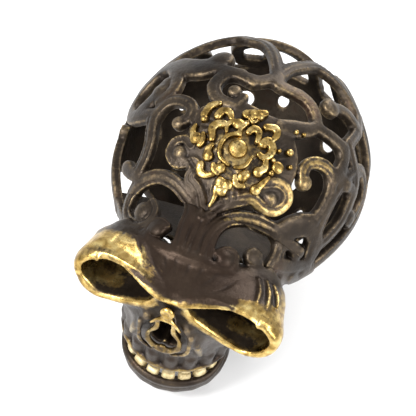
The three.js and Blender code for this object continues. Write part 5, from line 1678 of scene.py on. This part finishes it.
def add_node(owner, kind, inputs, out=0, stops=(), **settings):
    """Adds one node with its settings, fills or links its inputs, and hands back one of its outputs."""
    made = owner.node_tree.nodes.new(kind)
    for name, value in settings.items():
        setattr(made, name, value)
    for name, value in inputs.items():
        if isinstance(value, bpy.types.NodeSocket):
            owner.node_tree.links.new(value, made.inputs[name])
        else:
            made.inputs[name].default_value = value
    for _ in stops[2:]:
        made.color_ramp.elements.new(1.0)
    for element, (place, tint) in zip(made.color_ramp.elements if stops else (), stops):
        element.position = place
        element.color = colour(tint)
    return made.outputs[out] if made.outputs else None


print("node helper ready, mid grey is", round(colour("#808080")[0], 3), "in linear")

# %% [markdown]
# ### Brass with a brown patina
# The casting was dipped in liver of sulphur, which turns brass brown to black, and then rubbed. So the colour
# is a dark brown skin over bright metal. It is gone where the polisher worked, thin on proud edges and thick
# in hollows, and the border between the two is broken up by the casting's grain. The real grain comes from
# fine clay, about 0.1 mm, which is too fine to show, so it is drawn at 0.9 and 0.35 mm. Clouds of 9 mm and
# smears of 2.6 mm are the marks of the bath and of the polishing cloth.

# %% Brown patina
CLOUD_SIZE = 9.0 * MM
SMEAR_SIZE = 2.6 * MM
GRAIN_SIZE = 0.9 * MM
FINE_SIZE = 0.35 * MM
patina = new_material("lost-wax brass, brown patina")
at = add_node(patina, "ShaderNodeTexCoord", {}, "Object")
cloud = add_node(patina, "ShaderNodeTexNoise", {"Vector": at, "Scale": 1 / CLOUD_SIZE, "Detail": 4.0,
                                                "Roughness": 0.6})
smear = add_node(patina, "ShaderNodeTexNoise", {"Vector": at, "Scale": 1 / SMEAR_SIZE, "Detail": 4.0,
                                                "Distortion": 0.6})
grain = add_node(patina, "ShaderNodeTexNoise", {"Vector": at, "Scale": 1 / GRAIN_SIZE, "Detail": 5.0,
                                                "Roughness": 0.62})
fine = add_node(patina, "ShaderNodeTexNoise", {"Vector": at, "Scale": 1 / FINE_SIZE, "Detail": 3.0,
                                               "Roughness": 0.6})
proud = add_node(patina, "ShaderNodeAttribute", {}, "Fac", attribute_name="proud")
low = add_node(patina, "ShaderNodeAttribute", {}, "Fac", attribute_name="low")
polish_and_painted_light = add_node(patina, "ShaderNodeAttribute", {}, "Fac", attribute_name="polish_and_painted_light")
soot = add_node(patina, "ShaderNodeAttribute", {}, "Fac", attribute_name="soot")
print("patina's noise and kept values ready")

# %% [markdown]
# Wear has a soft stage and a bare stage. The soft one thins the brown skin, the bare one shows the metal, and
# inside the sockets both also carry painted light.
# Both start at a value that the grain shifts up and down, so that neither has a clean edge.

# %% How far the patina is worn
grain_part = add_node(patina, "ShaderNodeMath", {0: grain, 1: 0.6}, operation="MULTIPLY")
cloudy = add_node(patina, "ShaderNodeMath", {0: cloud, 1: 0.4, 2: grain_part}, operation="MULTIPLY_ADD")
broken = add_node(patina, "ShaderNodeMapRange",
                  {"Value": cloudy, "From Min": 0.3, "From Max": 0.7, "To Min": -0.28, "To Max": 0.28})
soft_wear_and_painted_light = add_node(patina, "ShaderNodeMath", {0: polish_and_painted_light, 1: 0.6, 2: proud}, operation="MULTIPLY_ADD")
soft_wear_and_painted_light = add_node(patina, "ShaderNodeMath", {0: soft_wear_and_painted_light, 1: broken}, operation="ADD")
soft_wear_and_painted_light = add_node(patina, "ShaderNodeMath", {0: soot, 1: -0.75, 2: soft_wear_and_painted_light}, operation="MULTIPLY_ADD")
soft_wear_and_painted_light = add_node(patina, "ShaderNodeMapRange", {"Value": soft_wear_and_painted_light, "From Min": 0.25, "From Max": 0.95})
bare_and_painted_light = add_node(patina, "ShaderNodeMath", {0: proud, 1: 0.45, 2: polish_and_painted_light}, operation="MULTIPLY_ADD")
bare_and_painted_light = add_node(patina, "ShaderNodeMath", {0: low, 1: -0.6, 2: bare_and_painted_light}, operation="MULTIPLY_ADD")
bare_and_painted_light = add_node(patina, "ShaderNodeMath", {0: bare_and_painted_light, 1: broken}, operation="ADD")
bare_and_painted_light = add_node(patina, "ShaderNodeMapRange", {"Value": bare_and_painted_light, "From Min": 0.36, "From Max": 0.86})
print("wear stages ready")

# %% [markdown]
# The skin under the wear has three browns: the bath's own, from near black to red-brown, a lighter one where
# a cloth went over it and where light is painted inside the sockets, and a darker one in hollows and under
# soot. In the hollows that dark is partly thick patina and partly painted shade. Bare metal runs from dull to
# pale yellow, with brown left in its pits.

# %% Colours of the patina
brown = add_node(patina, "ShaderNodeValToRGB", {"Fac": cloud},
                 stops=[(0.3, "#201a15"), (0.46, "#2e261e"), (0.58, "#3d342a"), (0.72, "#38261b")])
rubbed = add_node(patina, "ShaderNodeValToRGB", {"Fac": grain}, stops=[(0.35, "#524737"), (0.65, "#88755a")])
brass = add_node(patina, "ShaderNodeValToRGB", {"Fac": smear},
                 stops=[(0.3, "#66522c"), (0.42, "#967b44"), (0.54, "#ba9e60"), (0.7, "#dac384")])
pits = add_node(patina, "ShaderNodeMapRange", {"Value": grain, "From Min": 0.62, "From Max": 0.74})
brass = add_node(patina, "ShaderNodeMix", {0: pits, 6: brass, 7: colour("#3b2e1c")}, 2, data_type="RGBA")
skin = add_node(patina, "ShaderNodeMix", {0: soft_wear_and_painted_light, 6: brown, 7: rubbed}, 2, data_type="RGBA")
sooty = add_node(patina, "ShaderNodeMath", {0: soot, 1: 0.7}, operation="MULTIPLY")
skin = add_node(patina, "ShaderNodeMix", {0: sooty, 6: skin, 7: colour("#2a1c12")}, 2, data_type="RGBA")
# Painted shade: low places darken towards near black, partly thick patina and partly the shade that falls in
# them.
patina_and_shade_in_hollows = add_node(patina, "ShaderNodeMapRange", {"Value": low, "From Min": 0.1, "From Max": 0.9})
skin = add_node(patina, "ShaderNodeMix", {0: patina_and_shade_in_hollows, 6: skin, 7: colour("#16110f")}, 2,
                data_type="RGBA")
surface = add_node(patina, "ShaderNodeMix", {0: bare_and_painted_light, 6: skin, 7: brass}, 2, data_type="RGBA")
print("patina colours ready")

# %% [markdown]
# The skin is an oxide, so it mirrors less than metal does and is duller. Bare brass is all metal and shines.
# The grain makes the shine uneven and gives fine pores, which polishing has smoothed.

# %% Shine and grain of the patina
metal = add_node(patina, "ShaderNodeMapRange", {"Value": bare_and_painted_light, "To Min": 0.78, "To Max": 1.0})
gloss = add_node(patina, "ShaderNodeMapRange", {"Value": bare_and_painted_light, "To Min": 0.38, "To Max": 0.22})
uneven = add_node(patina, "ShaderNodeMapRange",
                  {"Value": grain, "From Min": 0.3, "From Max": 0.7, "To Min": -0.06, "To Max": 0.1})
gloss = add_node(patina, "ShaderNodeMath", {0: gloss, 1: uneven}, operation="ADD")
height = add_node(patina, "ShaderNodeMath", {0: fine, 1: 0.35, 2: grain}, operation="MULTIPLY_ADD")
smoothed = add_node(patina, "ShaderNodeMapRange", {"Value": bare_and_painted_light, "To Min": 0.9, "To Max": 0.3})
pores = add_node(patina, "ShaderNodeBump", {"Height": height, "Distance": 0.12 * MM, "Strength": smoothed})
shader = add_node(patina, "ShaderNodeBsdfPrincipled",
                  {"Base Color": surface, "Metallic": metal, "Roughness": gloss, "Normal": pores})
add_node(patina, "ShaderNodeOutputMaterial", {"Surface": shader})
print("patina nodes", len(patina.node_tree.nodes))

# %% [markdown]
# ### Polished brass
# The rosette was filed flat on top and buffed. Buffing brings the yellow metal up, but leaves brown residue
# in the pores and round the foot of each bead.

# %% Polished brass
polished = new_material("polished brass with residue in the pores")
at = add_node(polished, "ShaderNodeTexCoord", {}, "Object")
grain = add_node(polished, "ShaderNodeTexNoise", {"Vector": at, "Scale": 1 / GRAIN_SIZE, "Detail": 5.0,
                                                  "Roughness": 0.65})
cloud = add_node(polished, "ShaderNodeTexNoise", {"Vector": at, "Scale": 1 / SMEAR_SIZE, "Detail": 3.0})
low = add_node(polished, "ShaderNodeAttribute", {}, "Fac", attribute_name="low")
yellow = add_node(polished, "ShaderNodeValToRGB", {"Fac": cloud},
                  stops=[(0.35, "#6c562d"), (0.5, "#9c8149"), (0.65, "#cfb579")])
dirt = add_node(polished, "ShaderNodeMath", {0: low, 1: 0.5, 2: grain}, operation="MULTIPLY_ADD")
residue = add_node(polished, "ShaderNodeMapRange", {"Value": dirt, "From Min": 0.5, "From Max": 0.66})
surface = add_node(polished, "ShaderNodeMix", {0: residue, 6: yellow, 7: colour("#3f301c")}, 2,
                   data_type="RGBA")
gloss = add_node(polished, "ShaderNodeMapRange",
                 {"Value": grain, "From Min": 0.3, "From Max": 0.75, "To Min": 0.2, "To Max": 0.42})
pores = add_node(polished, "ShaderNodeBump", {"Height": grain, "Distance": 0.06 * MM, "Strength": 1.0})
shader = add_node(polished, "ShaderNodeBsdfPrincipled",
                  {"Base Color": surface, "Metallic": 1.0, "Roughness": gloss, "Normal": pores})
add_node(polished, "ShaderNodeOutputMaterial", {"Surface": shader})
print("polished nodes", len(polished.node_tree.nodes))

# %% [markdown]
# ### Pale teeth
# The teeth were rubbed down hardest, to a dull metal whose pale cream colour is a painted reflection of the
# white sheet, with brown left in the gaps.

# %% Worn teeth, pale with a painted reflection
TOOTH_CLOUD_SIZE = 3.0 * MM
pale = new_material("rubbed brass of the teeth with a painted reflection")
at = add_node(pale, "ShaderNodeTexCoord", {}, "Object")
grain = add_node(pale, "ShaderNodeTexNoise", {"Vector": at, "Scale": 1 / GRAIN_SIZE, "Detail": 4.0,
                                              "Roughness": 0.6})
cloud = add_node(pale, "ShaderNodeTexNoise", {"Vector": at, "Scale": 1 / TOOTH_CLOUD_SIZE, "Detail": 3.0})
low = add_node(pale, "ShaderNodeAttribute", {}, "Fac", attribute_name="low")
# Painted reflection: the cream colours stand in for the white sheet mirrored in the teeth's rubbed brass.
cream = add_node(pale, "ShaderNodeValToRGB", {"Fac": cloud},
                 stops=[(0.35, "#a8966c"), (0.5, "#c6b488"), (0.65, "#dccda4")])
dirt = add_node(pale, "ShaderNodeMath", {0: low, 1: 0.6, 2: grain}, operation="MULTIPLY_ADD")
stain = add_node(pale, "ShaderNodeMapRange", {"Value": dirt, "From Min": 0.56, "From Max": 0.78})
stained = add_node(pale, "ShaderNodeAttribute", {}, "Fac", attribute_name="soot")
cream = add_node(pale, "ShaderNodeMix", {0: stained, 6: cream, 7: colour("#57452b")}, 2, data_type="RGBA")
surface = add_node(pale, "ShaderNodeMix", {0: stain, 6: cream, 7: colour("#5f4e30")}, 2, data_type="RGBA")
gloss = add_node(pale, "ShaderNodeMapRange",
                 {"Value": grain, "From Min": 0.3, "From Max": 0.7, "To Min": 0.4, "To Max": 0.58})
pores = add_node(pale, "ShaderNodeBump", {"Height": grain, "Distance": 0.06 * MM, "Strength": 1.0})
shader = add_node(pale, "ShaderNodeBsdfPrincipled",
                  {"Base Color": surface, "Metallic": 0.35, "Roughness": gloss, "Normal": pores})
add_node(pale, "ShaderNodeOutputMaterial", {"Surface": shader})
print("teeth nodes", len(pale.node_tree.nodes))

# %% [markdown]
# ## Put the pieces on the frame
# Each piece takes the place of its CAD solids, rides on the one rigid body and carries its finish.

# %% Pieces on the frame
pieces = [(cranium, ["skullcap"], patina, "patina"),
          (face_mask, ["face_mask", "right_eye_socket", "left_eye_socket", "nose_cup"], patina, "patina"),
          (lower_jaw, ["lower_jaw"], patina, "patina"),
          (foot_ring, ["foot_ring"], patina, "patina"),
          (nose_rim, ["nose_rim"], patina, "polished")]
pieces += [(piece, [name], polished, "polished") for piece, name in rosette]
pieces += [(piece, [name], pale, "teeth") for piece, name in teeth]
for piece, names, material, slot in pieces:
    piece.data.materials.append(material)
    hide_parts(*names)
    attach(piece, "root")
print(len(pieces), "pieces replace", sum(len(names) for _, names, _, _ in pieces), "nodes")

# %% [markdown]
# ## Table and light
# The photograph is a shop picture: a white sheet under the skull and large soft lamps round it. The strongest
# stands above and to the left of the picture. The world is white for what the camera and the metal see, and
# about half as bright as a light.

# %% White sheet
SHEET_SIZE = 0.9
bpy.ops.mesh.primitive_plane_add(size=SHEET_SIZE, location=(0, 0, 0))
sheet_object = bpy.context.active_object
sheet_object.name = "white_sheet"
paper = new_material("white paper sheet")
shader = add_node(paper, "ShaderNodeBsdfPrincipled", {"Base Color": colour("#f4f4f4"), "Roughness": 0.8})
add_node(paper, "ShaderNodeOutputMaterial", {"Surface": shader})
sheet_object.data.materials.append(paper)
print("sheet", SHEET_SIZE, "m wide")

# %% Lamps
LAMPS = [("key", (-0.28, -0.30, 0.46), 0.26, 4.2), ("fill", (0.42, -0.18, 0.30), 0.30, 2.0),
         ("rim", (0.10, 0.45, 0.35), 0.30, 2.2), ("front", (-0.12, -0.42, 0.16), 0.26, 0.8)]
LAMP_TARGET = [0, -8.0, 40.0]


def lamp(name, place, size, power):
    data = bpy.data.lights.new(name, "AREA")
    data.size = size
    data.energy = power
    made = bpy.data.objects.new(name, data)
    aim = Vector(in_frame(LAMP_TARGET) - np.array(place))
    made.matrix_world = Matrix.Translation(place) @ aim.to_track_quat("-Z", "Y").to_matrix().to_4x4()
    bpy.context.collection.objects.link(made)


for settings in LAMPS:
    lamp(*settings)
print(len(LAMPS), "lamps")

# %% World
WORLD_LIGHT = 0.55
world = bpy.data.worlds.new("studio")
bpy.context.scene.world = world
world.use_nodes = True
world.node_tree.nodes.clear()
camera_sees = add_node(world, "ShaderNodeLightPath", {}, "Is Camera Ray")
metal_sees = add_node(world, "ShaderNodeLightPath", {}, "Is Glossy Ray")
glass_sees = add_node(world, "ShaderNodeLightPath", {}, "Is Transmission Ray")
seen = add_node(world, "ShaderNodeMath", {0: camera_sees, 1: metal_sees}, operation="ADD")
seen = add_node(world, "ShaderNodeMath", {0: seen, 1: glass_sees}, operation="ADD", use_clamp=True)
level = add_node(world, "ShaderNodeMapRange", {"Value": seen, "To Min": WORLD_LIGHT, "To Max": 1.0})
white = add_node(world, "ShaderNodeBackground", {"Color": (1, 1, 1, 1), "Strength": level})
add_node(world, "ShaderNodeOutputWorld", {"Surface": white})
bpy.context.scene.view_settings.view_transform = "Standard"
print("world nodes", len(world.node_tree.nodes))
